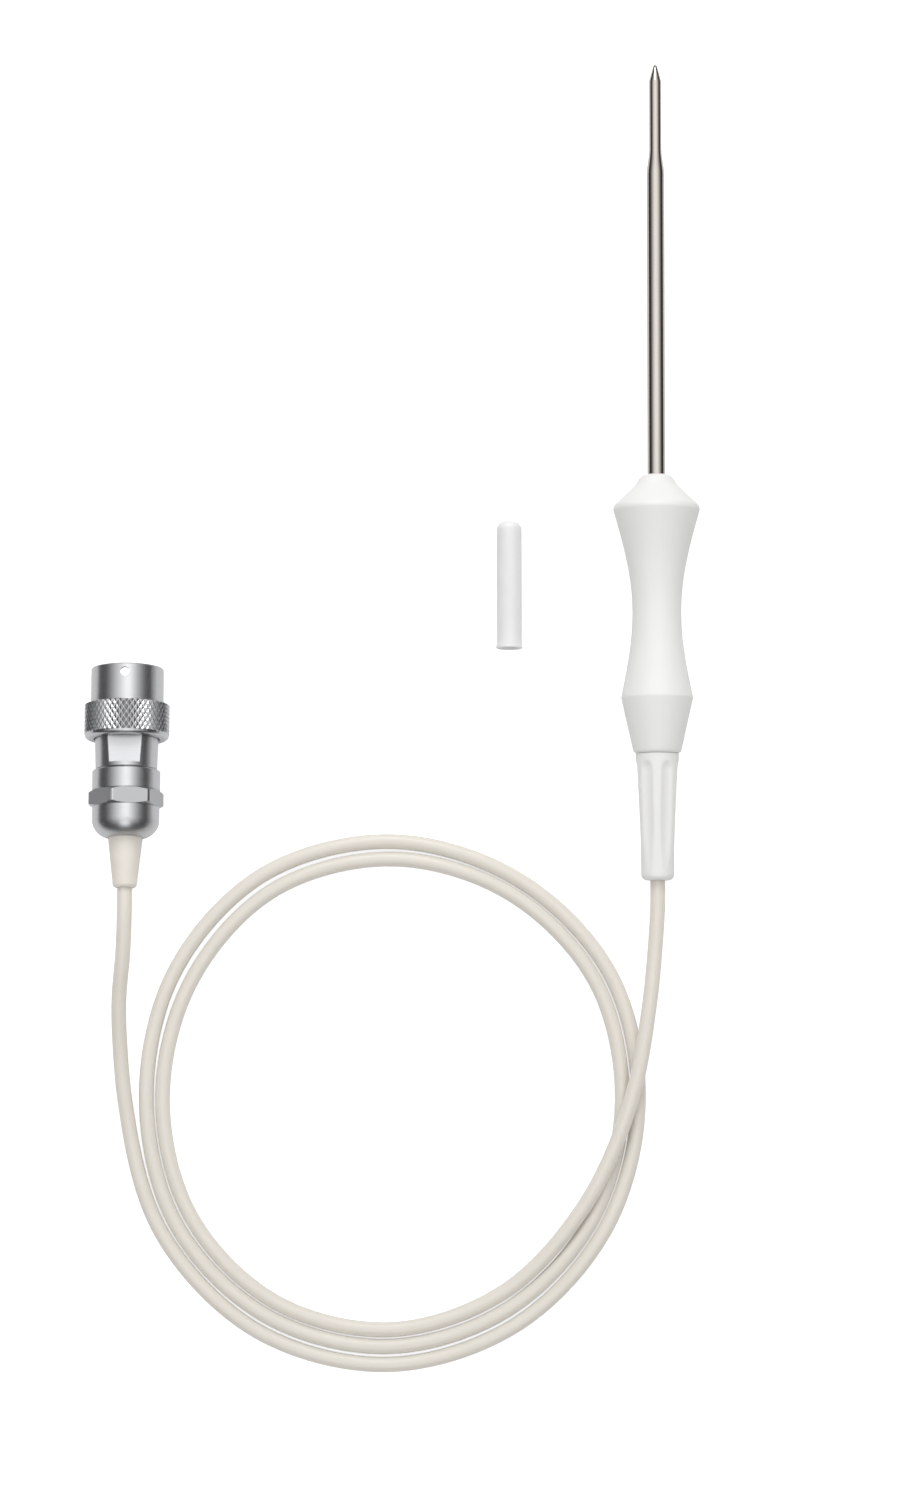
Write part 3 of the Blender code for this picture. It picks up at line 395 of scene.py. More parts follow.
def cut(mesh, tools):
    """The mesh with the tools' shapes taken out of it, worked out exactly."""
    target = bpy.data.objects.new("work", mesh)
    bpy.context.scene.collection.objects.link(target)
    group = bpy.data.collections.new("tools")
    for tool in tools:
        group.objects.link(bpy.data.objects.new(tool.name, tool))
    boolean = target.modifiers.new("cut", "BOOLEAN")
    boolean.operation = "DIFFERENCE"
    boolean.operand_type = "COLLECTION"
    boolean.solver = "EXACT"
    boolean.collection = group
    made = bpy.data.meshes.new_from_object(target.evaluated_get(bpy.context.evaluated_depsgraph_get()))
    made.name = mesh.name
    for thing in [target, *group.objects]:
        bpy.data.objects.remove(thing)
    bpy.data.collections.remove(group)
    return made


def add_piece(name, mesh, finish, body, slot, *nodes, sharp=28.0):
    """Puts a mesh in the scene at the origin, on its body, with its finish, in place of the CAD nodes."""
    mesh.name = name
    mesh.shade_smooth()
    mesh.set_sharp_from_angle(angle=math.radians(sharp))
    mesh.materials.clear()
    mesh.materials.append(finish)
    piece = bpy.data.objects.new(name, mesh)
    bpy.context.scene.collection.objects.link(piece)
    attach(piece, body)
    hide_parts(*nodes)
    return piece


def add(tree, kind, settings=None, inputs=None):
    """Adds a node. Settings are its own properties, and each input is a value or another node's output."""
    made = tree.nodes.new(kind)
    for key, value in (settings or {}).items():
        setattr(made, key, value)
    for key, value in (inputs or {}).items():
        if isinstance(value, bpy.types.NodeSocket):
            tree.links.new(value, made.inputs[key])
        else:
            made.inputs[key].default_value = value
    return made


def new_material(name, base, **settings):
    """A Principled material with its tree and shader, from a linear colour and the shader's own values."""
    made = bpy.data.materials.new(name)
    made.use_nodes = True
    made.diffuse_color = (*base, 1.0)
    shader = made.node_tree.nodes["Principled BSDF"]
    shader.inputs["Base Color"].default_value = (*base, 1.0)
    for key, value in settings.items():
        shader.inputs[key.replace("_", " ")].default_value = value
    return made, made.node_tree, shader


def shade(base, share):
    """A linear colour made lighter or darker by a share."""
    return (*(min(1.0, c * share) for c in base), 1.0)


def dress(tree, shader, base, tint, tones, grain, gloss=None, relief=None):
    """Lets patterns of values from 0 to 1 dress a shader: the tint sets the tone between two shares of the
    base colour, and the grain sets the roughness between two values and makes a bump of a strength and a
    depth in millimetres. Returns the tone."""
    tone = add(tree, "ShaderNodeMix", {"data_type": "RGBA"},
               {"Factor": tint, 6: shade(base, tones[0]), 7: shade(base, tones[1])})
    tree.links.new(tone.outputs[2], shader.inputs["Base Color"])
    if gloss:
        rough = add(tree, "ShaderNodeMapRange", None,
                    {"Value": grain, "To Min": gloss[0], "To Max": gloss[1]})
        tree.links.new(rough.outputs["Result"], shader.inputs["Roughness"])
    if relief:
        bump = add(tree, "ShaderNodeBump", None,
                   {"Height": grain, "Strength": relief[0], "Distance": relief[1] * MM})
        tree.links.new(bump.outputs["Normal"], shader.inputs["Normal"])
    return tone.outputs[2]


def streaks(tree, round_scale, along_scale, detail):
    """Noise drawn out into lines on the UV map, by a scale to the turn and a scale to the millimetre."""
    place = add(tree, "ShaderNodeTexCoord").outputs["UV"]
    lines = add(tree, "ShaderNodeMapping", None, {"Vector": place, "Scale": (round_scale, along_scale, 1.0)})
    noise = add(tree, "ShaderNodeTexNoise", {"noise_dimensions": "2D"},
                {"Vector": lines.outputs["Vector"], "Scale": 1.0, "Detail": detail})
    return noise.outputs["Fac"]


def moulded_acetal(base):
    """Acetal, injection moulded in a fine spark-eroded tool: a satin, slightly waxy white. The eroded grain
    is about 0.1 mm and is drawn at 0.7 mm, as coarse as it needs to show, and the melt's flow leaves a very
    faint cloudiness a few centimetres wide."""
    made, tree, shader = new_material("moulded_acetal", base, Roughness=0.46, Subsurface_Weight=0.12,
                                      Subsurface_Radius=(1.0, 0.95, 0.9), Subsurface_Scale=0.0012)
    place = add(tree, "ShaderNodeTexCoord").outputs["Object"]
    cloud = add(tree, "ShaderNodeTexNoise", None, {"Vector": place, "Scale": 45.0, "Detail": 2.0})
    grain = add(tree, "ShaderNodeTexNoise", None, {"Vector": place, "Scale": 1400.0, "Detail": 3.0})
    dress(tree, shader, base, cloud.outputs["Fac"], (0.975, 1.015), grain.outputs["Fac"], (0.4, 0.54),
          (0.35, 0.03))
    return made


def moulded_vinyl(base):
    """Soft PVC, injection moulded over the cable: ivory, a little waxy and more yellow than the jacket, with
    a faint cloudiness where the melt met itself."""
    made, tree, shader = new_material("moulded_vinyl", base, Roughness=0.42, Subsurface_Weight=0.2,
                                      Subsurface_Radius=(1.0, 0.8, 0.55), Subsurface_Scale=0.0015)
    place = add(tree, "ShaderNodeTexCoord").outputs["Object"]
    cloud = add(tree, "ShaderNodeTexNoise", None, {"Vector": place, "Scale": 220.0, "Detail": 2.0})
    grain = add(tree, "ShaderNodeTexNoise", None, {"Vector": place, "Scale": 1800.0, "Detail": 2.0})
    dress(tree, shader, base, cloud.outputs["Fac"], (0.95, 1.03), grain.outputs["Fac"], None, (0.3, 0.03))
    return made


def extruded_jacket(base):
    """A silicone jacket, extruded: off-white, smooth and a little see-through, so that it glows softly where
    it is lit. The die leaves hair lines along it, drawn 0.4 mm apart, and the pull of the line makes its
    gloss change slowly along its length."""
    made, tree, shader = new_material("extruded_jacket", base, Roughness=0.4, Subsurface_Weight=0.45,
                                      Subsurface_Radius=(1.0, 0.9, 0.8), Subsurface_Scale=0.003,
                                      Sheen_Weight=0.6, Sheen_Roughness=0.4)
    streak = streaks(tree, 32.0, 0.05, 2.0)
    dress(tree, shader, base, streak, (0.96, 1.03), streak, (0.34, 0.48), (0.2, 0.02))
    return made


def moulded_polyethylene(base):
    """Low-density polyethylene, dip or injection moulded: a milky, slightly see-through white with a soft
    gloss, faintly cloudy and rippled by the mould."""
    made, tree, shader = new_material("moulded_polyethylene", base, Roughness=0.4, Subsurface_Weight=0.35,
                                      Subsurface_Radius=(1.0, 1.0, 1.0), Subsurface_Scale=0.002)
    place = add(tree, "ShaderNodeTexCoord").outputs["Object"]
    cloud = add(tree, "ShaderNodeTexNoise", None, {"Vector": place, "Scale": 160.0, "Detail": 3.0})
    ripple = add(tree, "ShaderNodeTexNoise", None, {"Vector": place, "Scale": 700.0, "Detail": 2.0})
    dress(tree, shader, base, cloud.outputs["Fac"], (0.97, 1.02), ripple.outputs["Fac"], None, (0.25, 0.03))
    return made


def drawn_steel(base):
    """Stainless steel tube, drawn and polished: bright and a little warm, with hair lines along it from the
    die. The lines are finer than they can show and are drawn 0.3 mm apart."""
    made, tree, shader = new_material("drawn_steel", base, Metallic=1.0, Roughness=0.09)
    streak = streaks(tree, 52.0, 0.08, 3.0)
    dress(tree, shader, base, streak, (0.9, 1.05), streak, (0.06, 0.13))
    return made


def plated_brass(name, base, roughness, lines_apart):
    """Brass, turned and plated with satin nickel: a cool grey metal whose turning marks run round it, so that
    its shine is drawn out along its axis and stays crisp across it. The marks are about 0.05 mm apart and are
    drawn coarser, as far apart in millimetres as they need to show. Faces whose attribute says that they were
    milled have no marks, and their colour is painted darker: a painted shade for the dimmer reflection of
    the milled flats."""
    made, tree, shader = new_material(name, base, Metallic=1.0, Roughness=roughness, Anisotropic=0.6,
                                      Anisotropic_Rotation=0.25)
    mark = streaks(tree, 3.0, 1.0 / lines_apart, 3.0)
    turned_tone = dress(tree, shader, base, mark, (0.9, 1.07), mark, (roughness - 0.05, roughness + 0.07),
                        (0.25, 0.02))
    # Painted shade: milled faces take a darker colour, standing in for the dimmer reflection of the hexagon's
    # flats
    milled = add(tree, "ShaderNodeAttribute", {"attribute_name": "milled"})
    tone = add(tree, "ShaderNodeMix", {"data_type": "RGBA"},
               {"Factor": milled.outputs["Fac"], 6: turned_tone, 7: shade(base, MILLED_PAINTED_SHADE)})
    tangent = add(tree, "ShaderNodeTangent", {"direction_type": "UV_MAP", "uv_map": "UVMap"})
    tree.links.new(tone.outputs[2], shader.inputs["Base Color"])
    tree.links.new(tangent.outputs["Tangent"], shader.inputs["Tangent"])
    return made


def plain_finish(name, value, roughness, metallic, scale, spread):
    """The finish of a small inner piece: one colour, lighter and darker by a spread in a grain of the given
    scale, such as fired ceramic, drawn wire, gilt, moulded phenolic or rubber."""
    base = linear(value)
    made, tree, shader = new_material(name, base, Metallic=metallic, Roughness=roughness)
    place = add(tree, "ShaderNodeTexCoord").outputs["Object"]
    grain = add(tree, "ShaderNodeTexNoise", None,
                {"Vector": place, "Scale": scale, "Detail": 3.0}).outputs["Fac"]
    dress(tree, shader, base, grain, (1 - spread, 1 + spread), grain, None, (0.3, 0.02))
    return made


def shared(name, maker, *values):
    """The material of that name, made by its maker if no piece has asked for it yet."""
    return bpy.data.materials.get(name) or maker(*values)


def grip_plastic(context):
    """The white plastic of the grip and the strain relief."""
    return shared("moulded_acetal", moulded_acetal, context.scene.probe_finishes.moulding)


def plug_nickel(context):
    """The satin nickel of the plug's turned pieces."""
    name = "nickel_plated_brass"
    return shared(name, plated_brass, name, context.scene.probe_finishes.nickel, 0.35, 0.22)


def pale_floor(base):
    """A sweep of white acrylic: it keeps the soft shadows and is lifted to white for the eye, and about a
    quarter as much for what is reflected or seen through, but gives no light of its own. At a low angle its
    gloss mirrors the dim room, which the metal pieces show as a dark band."""
    made = bpy.data.materials.new("pale_floor")
    made.use_nodes = True
    tree = made.node_tree
    tree.nodes.clear()
    path = add(tree, "ShaderNodeLightPath")
    other = add(tree, "ShaderNodeMath", {"operation": "MAXIMUM"},
                {0: path.outputs["Is Glossy Ray"], 1: path.outputs["Is Transmission Ray"]})
    seen = add(tree, "ShaderNodeMath", {"operation": "MULTIPLY_ADD"},
               {0: other.outputs[0], 1: MIRRORED_GLOW, 2: path.outputs["Is Camera Ray"]})
    glow = add(tree, "ShaderNodeMath", {"operation": "MULTIPLY"}, {0: seen.outputs[0], 1: FLOOR_GLOW})
    card = add(tree, "ShaderNodeBsdfDiffuse", None, {"Color": shade(base, FLOOR_SHADE)})
    light = add(tree, "ShaderNodeEmission", None, {"Color": (*base, 1.0), "Strength": glow.outputs[0]})
    both = add(tree, "ShaderNodeAddShader", None, {0: card.outputs[0], 1: light.outputs[0]})
    facing = add(tree, "ShaderNodeLayerWeight", None, {"Blend": 0.5})
    low = add(tree, "ShaderNodeMapRange", {"interpolation_type": "SMOOTHSTEP"},
              {"Value": facing.outputs["Facing"], "From Min": FLOOR_GLOSS[0], "From Max": FLOOR_GLOSS[1]})
    share = add(tree, "ShaderNodeMath", {"operation": "MULTIPLY"},
                {0: low.outputs["Result"], 1: other.outputs[0]})
    gloss = add(tree, "ShaderNodeBsdfGlossy", None, {"Color": shade(base, 0.9), "Roughness": 0.1})
    skin = add(tree, "ShaderNodeMixShader", None,
               {0: share.outputs[0], 1: both.outputs[0], 2: gloss.outputs[0]})
    add(tree, "ShaderNodeOutputMaterial", None, {"Surface": skin.outputs[0]})
    return made


def studio_world():
    """A room that is brightest overhead and falls with the angle from there to a dim grey, more steeply in
    what the metal pieces mirror, and that looks white to the eye."""
    made = bpy.data.worlds.new("studio")
    made.use_nodes = True
    tree = made.node_tree
    tree.nodes.clear()
    place = add(tree, "ShaderNodeTexCoord").outputs["Generated"]
    top = add(tree, "ShaderNodeVectorMath", {"operation": "DOT_PRODUCT"},
              {0: place, 1: (0.0, math.sin(TOP_LEAN), math.cos(TOP_LEAN))})
    off = add(tree, "ShaderNodeMath", {"operation": "ARCCOSINE"}, {0: top.outputs["Value"]})
    path = add(tree, "ShaderNodeLightPath")
    mirrored = path.outputs["Is Glossy Ray"]
    bright = add(tree, "ShaderNodeMath", {"operation": "MULTIPLY_ADD"},
                 {0: mirrored, 1: MIRRORED_TOP - BRIGHT_TOP, 2: BRIGHT_TOP})
    dim = add(tree, "ShaderNodeMath", {"operation": "MULTIPLY_ADD"},
              {0: mirrored, 1: MIRRORED_SIDE - DIM_SIDE, 2: DIM_SIDE})
    level = add(tree, "ShaderNodeMapRange", {"interpolation_type": "SMOOTHSTEP"},
                {"Value": off.outputs[0], "From Min": BRIGHT_TO, "From Max": DIM_FROM,
                 "To Min": bright.outputs[0], "To Max": dim.outputs[0]})
    white = (1.0, 1.0, 1.0, 1.0)
    room = add(tree, "ShaderNodeBackground", None, {"Color": white, "Strength": level.outputs["Result"]})
    plain = add(tree, "ShaderNodeBackground", None, {"Color": white, "Strength": 1.0})
    shown = add(tree, "ShaderNodeMixShader", None,
                {0: path.outputs["Is Camera Ray"], 1: room.outputs[0], 2: plain.outputs[0]})
    add(tree, "ShaderNodeOutputWorld", None, {"Surface": shown.outputs[0]})
    return made


class PROBE_OT_stage(bpy.types.Operator):
    """Adds the pale floor, the soft light and the camera, which looks almost straight down"""
    bl_idname = "probe.add_stage"
    bl_label = "Stage"

    def execute(self, context):
        scene = context.scene
        floor_mesh = bpy.data.meshes.new("floor")
        half = FLOOR_SIZE / 2
        floor_mesh.from_pydata([(-half, -half, 0), (half, -half, 0), (half, half, 0), (-half, half, 0)], [],
                               [(0, 1, 2, 3)])
        floor = bpy.data.objects.new("floor", floor_mesh)
        scene.collection.objects.link(floor)
        floor_mesh.materials.append(pale_floor(scene.probe_finishes.floor))

        scene.world = studio_world()
        for name, place, size, power in LAMPS:
            lamp = bpy.data.lights.new(name, "AREA")
            lamp.shape = "DISK"
            lamp.size = size
            lamp.energy = power
            lamp_object = bpy.data.objects.new(name, lamp)
            lamp_object.location = place
            aim = Vector(LOOK_AT) - Vector(place)
            lamp_object.rotation_euler = aim.to_track_quat("-Z", "Y").to_euler()
            scene.collection.objects.link(lamp_object)

        camera = bpy.data.cameras.new("camera")
        camera.sensor_width = SENSOR
        camera.lens = CAMERA_LENS
        camera.clip_start, camera.clip_end = 0.01, 10.0
        camera_object = bpy.data.objects.new("camera", camera)
        lift = math.radians(CAMERA_ELEVATION)
        back = Vector((0, -math.cos(lift), math.sin(lift)))
        camera_object.location = Vector(LOOK_AT) + back * CAMERA_DISTANCE
        camera_object.rotation_euler = (math.pi / 2 - lift, 0, 0)
        scene.collection.objects.link(camera_object)
        scene.camera = camera_object
        scene.view_settings.view_transform = "Standard"
        return {"FINISHED"}


class PROBE_OT_stem(bpy.types.Operator):
    """Adds the swaged steel stem with its ground point"""
    bl_idname = "probe.add_stem"
    bl_label = "Stem"

    def execute(self, context):
        s = context.scene.probe_sizes
        radius, tip, wall = s.stem_radius / MM, s.tip_radius / MM, s.stem_wall / MM
        point, long, seat = s.point_radius / MM, s.stem_length / MM, s.stem_seat / MM
        front = long - s.tip_length / MM
        rear = front - s.swage_length / MM
        ground, hollow = long - s.point_length / MM, long - JUNCTION_BACK
        share = np.linspace(0, 1, 25)
        # Between the reduced end and the full tube the radius grows as a cubic ease
        swage = np.column_stack([front + (rear - front) * share,
                                 tip + (radius - tip) * share**2 * (3 - 2 * share)])
        line = outline((long, 0), arc(long - point * 0.7, 0, point * 0.7, point, -90, -20, 6),
                       (ground + 0.3, tip - 0.05), (ground - 0.2, tip), swage, (-seat, radius),
                       (-seat, radius - wall), (rear, radius - wall), (front, tip - wall),
                       (hollow, tip - wall), (hollow, 0))
        finish = drawn_steel(context.scene.probe_finishes.steel)
        mesh = turned("stem", line, PROBE_PLACE, 64, None, False)
        add_piece("steel_stem", mesh, finish, "probe", "polished_stainless", "sheath_tube")
        return {"FINISHED"}


class PROBE_OT_grip(bpy.types.Operator):
    """Adds the turned plastic grip"""
    bl_idname = "probe.add_grip"
    bl_label = "Grip"

    def execute(self, context):
        s = context.scene.probe_sizes
        shoulder, shoulder_back = s.shoulder_radius / MM, s.shoulder_back / MM
        waist, waist_back = s.waist_radius / MM, s.waist_back / MM
        bulge, bulge_back = s.bulge_radius / MM, s.bulge_back / MM
        tail, long = s.tail_radius / MM, s.handle_length / MM
        nose, lip, bore = s.nose_radius / MM, s.lip_radius / MM, s.stem_radius / MM + STEM_FIT
        over = rounded(-shoulder_back, shoulder, SHOULDER_ROUND, -43, 16, 18)
        swell_top = rounded(-bulge_back, bulge, BULGE_ROUND, -12, 12, 10)
        end = rounded(TAIL_ROUND - long, tail, TAIL_ROUND, 12, 90, 10)
        share = np.linspace(0, 1, 41)
        # Behind the shoulder the radius falls as a quarter sine, and then swells as one minus a cosine
        fall = np.column_stack([over[-1, 0] + (-waist_back - over[-1, 0]) * share,
                                over[-1, 1] + (waist - over[-1, 1]) * np.sin(math.pi / 2 * share)])
        swell = np.column_stack([-waist_back + (swell_top[0, 0] + waist_back) * share,
                                 waist + (swell_top[0, 1] - waist) * (1 - np.cos(math.pi / 2 * share))])
        # The nose swells to a soft lip, which runs on into the flank
        edge = smooth_path([(0, nose - 0.5), (-0.36, nose + 0.15), (-1.1, (nose + lip) / 2 + 0.05),
                            (-1.85, lip - 0.2), (-2.9, lip + 0.5), (-3.9, lip + 1.5)], 5)
        line = outline((0, bore), edge, over, fall[1:], swell[1:-1], swell_top, end, (-long, CHAMBER_RADIUS),
                       (-CHAMBER_FRONT, CHAMBER_RADIUS), (-CHAMBER_FRONT, bore), step=1.5)
        mesh = turned("grip", line, PROBE_PLACE, 128)
        add_piece("moulded_grip", mesh, grip_plastic(context), "probe", "white_moulding", "handle",
                  sharp=50.0)
        return {"FINISHED"}


class PROBE_OT_relief(bpy.types.Operator):
    """Adds the fluted strain relief behind the grip"""
    bl_idname = "probe.add_relief"
    bl_label = "Strain relief"

    def execute(self, context):
        s = context.scene.probe_sizes
        handle, long = s.handle_length / MM, s.relief_length / MM
        front, rear = s.relief_front / MM, s.relief_rear / MM
        depth, count = s.flute_depth / MM, s.flutes
        reach = SCOOP - depth
        lead = FLUTE_START + math.sqrt(SCOOP**2 - reach**2)
        fade = FLUTE_FADE * (FLUTE_END - FLUTE_START) / math.sin(math.acos(reach / SCOOP))
        fade_start = FLUTE_END - FLUTE_FADE * (FLUTE_END - FLUTE_START)

        def fluted(z, angle, radius):
            """The cone scooped by round troughs: the ray at an angle t from a trough's middle meets its
            circle at c cos t - sqrt(k^2 - c^2 sin^2 t), with c the circle's distance from the axis and k its
            radius, which shrinks as a sphere in front and an ellipse behind. The smaller radius wins,
            softly."""
            back = -z - handle
            pitch = 2 * math.pi / count
            off = (angle - FLUTE_TURN + pitch / 2) % pitch - pitch / 2
            ahead = np.clip(lead - back, 0, SCOOP) ** 2
            behind = np.clip((back - fade_start) / fade, 0, 1) ** 2
            size = np.sqrt(np.maximum(SCOOP**2 * (1 - behind) - ahead, 0))
            far = radius + reach
            inside = size**2 - (far * np.sin(off)) ** 2
            trough = np.where(inside > 0, far * np.cos(off) - np.sqrt(np.maximum(inside, 0)), radius + 1.0)
            trough = np.where(back > 0, trough, radius + 1.0)
            share = np.clip(0.5 + 0.5 * (trough - radius) / FLUTE_BLEND, 0, 1)
            return trough * (1 - share) + radius * share - FLUTE_BLEND * share * (1 - share)

        bore, spigot = s.cable_radius / MM + CLEARANCE, CHAMBER_RADIUS - CLEARANCE
        start, stop = -handle - 0.05, -handle - long
        skin = outline((start, front - EDGE), rounded(start - EDGE, front, EDGE, -70, 0, 3),
                       rounded(stop + RELIEF_ROUND, rear, RELIEF_ROUND, 3, 90, 10), step=0.4)
        inner = SPIGOT_LENGTH - handle
        line = outline((inner, bore), (inner, spigot), (start, spigot), skin, (stop, bore))
        mesh = turned("relief", line, PROBE_PLACE, 192, fluted if count else None)
        add_piece("fluted_relief", mesh, grip_plastic(context), "probe", "white_moulding", "strain_relief",
                  sharp=50.0)
        return {"FINISHED"}


class PROBE_OT_cap(bpy.types.Operator):
    """Adds the stem's loose tip cap"""
    bl_idname = "probe.add_cap"
    bl_label = "Tip cap"

    def execute(self, context):
        s = context.scene.probe_sizes
        radius, long = s.cap_radius / MM, s.cap_length / MM
        line = outline((0, 0), rounded(-CAP_ROUND, radius, CAP_ROUND, -90, 0, 16), (2.6 - long, radius),
                       (1.2 - long, radius + 0.08), (0.5 - long, radius + CAP_FLARE),
                       arc(0.2 - long, radius + 0.08, 0.2, 0.15, 0, 90, 5), (-long, CAP_BORE + EDGE),
                       (0.4 - long, CAP_BORE), (-3.3, CAP_BORE), (-2.3, 1.6), (-2.0, 0), step=2.0)
        finish = moulded_polyethylene(context.scene.probe_finishes.cap)
        mesh = turned("cap", line, CAP_PLACE, 64, None, False)
        add_piece("stem_cap", mesh, finish, "probe", "soft_cap", "tip_cap", sharp=40.0)
        return {"FINISHED"}


def bayonet_sleeve(s):
    """The turned sleeve, with its round windows and its bayonet grooves cut out of it."""
    sleeve, bore, long = s.sleeve_radius / MM, s.sleeve_bore / MM, s.sleeve_length / MM
    line = outline((long, bore + 0.15), (long, sleeve - 0.25), (long - 0.25, sleeve), (-SLEEVE_ROOT, sleeve),
                   (-SLEEVE_ROOT, bore), (long - 0.15, bore), step=0.5)
    middle, window_z = bore + GROOVE_DEPTH - GROOVE_RADIUS, long - WINDOW_BACK
    tools = []
    for index in range(WINDOWS):
        angle = 360 / WINDOWS * index
        reach = np.linspace(bore - OVERSHOOT, sleeve + OVERSHOOT, 4)
        drill = placed(np.array([around(angle, radius, window_z) for radius in reach]), PLUG_PLACE)
        tools.append(tube("window", drill, s.window_radius, NEAR_AXIS, 32))
        # The bayonet groove runs in from the rim, then round and up to the window
        entry = angle - GROOVE_TURN
        run = [around(entry, middle, z) for z in np.linspace(long + 2, window_z - GROOVE_RISE, 5)]
        run += [around(entry + GROOVE_TURN * t, middle, window_z - GROOVE_RISE * (1 - t))
                for t in np.linspace(0.1, 1, 10)]
        out = np.array([around(entry + GROOVE_TURN / 2, 1, 0)])
        out = placed(out, ((0, 0, 0), PLUG_PLACE[1]))[0] / MM
        tools.append(tube("groove", placed(np.array(run), PLUG_PLACE), GROOVE_RADIUS * MM, out, 16))
    return cut(turned("sleeve", line, PLUG_PLACE, 128), tools)


def knurled_band(s):
    """The turned band with its knurl, and the rib inside it."""
    bore, rear_bore, rib = s.sleeve_bore / MM, s.body_front / MM + CLEARANCE, THREAD_RADIUS + CLEARANCE
    band, long = s.band_radius / MM, s.band_length / MM
    knurls, depth = s.knurls, s.knurl_depth / MM
    half_pitch = (long - KNURL_START - KNURL_END) / KNURL_ROWS
    rows = np.linspace(-KNURL_START, KNURL_END - long, KNURL_ROWS * KNURL_STEPS + 1)
    knurl_line = np.column_stack([rows, np.full(len(rows), band)])

    def knurled(z, angle, radius):
        """Two crossing sets of V grooves: with a and b the turn in knurls plus and minus the distance along
        in pitches, each cuts in by 1 - 2 |distance to the nearest whole number|, and the deeper cut wins,
        which leaves four-sided pyramids."""
        turn = angle / (2 * math.pi) * knurls
        rise = (-z - KNURL_START) / (2 * half_pitch)
        first, second = turn + rise, turn - rise
        first = 1 - 2 * np.abs(first - np.round(first))
        second = 1 - 2 * np.abs(second - np.round(second))
        groove = depth * np.clip(np.maximum(first, second) * 1.1 - 0.1, 0, 1)
        return np.where(radius > band - 0.01, radius - groove, radius)

    rib_front, rib_rear = -RIB_BACK, -RIB_BACK - RIB_LENGTH
    line = outline((0, bore), (0, band - depth - 0.35), (-0.18, band - depth), knurl_line,
                   (-long + KNURL_END - 0.12, band - depth * 0.6),
                   arc(-long + 0.9, band - 1.5, 0.9, 1.3, 20, 80, 6), (-long, band - REAR_CHAMFER - 0.3),
                   (-long, rear_bore), (rib_rear, rear_bore), (rib_rear, rib), (rib_front, rib),
                   (rib_front, bore))
    return turned("band", line, PLUG_PLACE, knurls * KNURL_COLUMNS, knurled)


class PROBE_OT_coupling(bpy.types.Operator):
    """Adds the coupling ring: the sleeve with its windows and bayonet grooves, and the knurled band"""
    bl_idname = "probe.add_coupling"
    bl_label = "Coupling ring"

    def execute(self, context):
        s = context.scene.plug_sizes
        add_piece("bayonet_sleeve", bayonet_sleeve(s), plug_nickel(context), "coupling", "satin_nickel",
                  "coupling_ring")
        knurl_metal = plated_brass("knurled_nickel", context.scene.probe_finishes.nickel, 0.28, 0.4)
        add_piece("knurled_band", knurled_band(s), knurl_metal, "coupling", "satin_nickel", "coupling_ring",
                  sharp=20.0)
        return {"FINISHED"}


class PROBE_OT_body(bpy.types.Operator):
    """Adds the plug body with its wrench flats"""
    bl_idname = "probe.add_body"
    bl_label = "Plug body"

    def execute(self, context):
        s = context.scene.plug_sizes
        front, rear, flat = s.body_front / MM, s.body_rear / MM, s.flat_distance / MM

        def flattened(z, angle, radius):
            """The round body cut by a flat above and below: there the radius is the flat's distance over the
            cosine of the angle, where that is less."""
            across = np.abs(np.cos(angle))
            level = flat / np.maximum(across, 1e-6)
            return np.where((z > -FLAT_REAR) & (z < -BODY_SHOULDER + 0.01), np.minimum(radius, level), radius)

        line = outline((SPIGOT_FRONT, INSERT_BORE + 0.1), (SPIGOT_FRONT, THREAD_RADIUS - 0.25),
                       (SPIGOT_FRONT - 0.25, THREAD_RADIUS), (-BODY_SHOULDER, THREAD_RADIUS),
                       (-BODY_SHOULDER, front), (-FLAT_REAR + 0.001, front + (rear - front) * 0.88),
                       (-FLAT_REAR - 0.001, front + (rear - front) * 0.881), (-BODY_REAR + 0.2, rear),
                       (-BODY_REAR, rear - 0.2), (-BODY_REAR, THREAD_RADIUS), (-BODY_TAIL, THREAD_RADIUS),
                       (-BODY_TAIL, TAIL_BORE), (-INSERT_BACK, TAIL_BORE), (-INSERT_BACK, INSERT_BORE),
                       (SPIGOT_FRONT - 0.1, INSERT_BORE), step=0.6)
        mesh = turned("body", line, PLUG_PLACE, 360, flattened)
        add_piece("turned_plug_body", mesh, plug_nickel(context), "probe", "satin_nickel", "plug_body",
                  sharp=22.0)
        return {"FINISHED"}


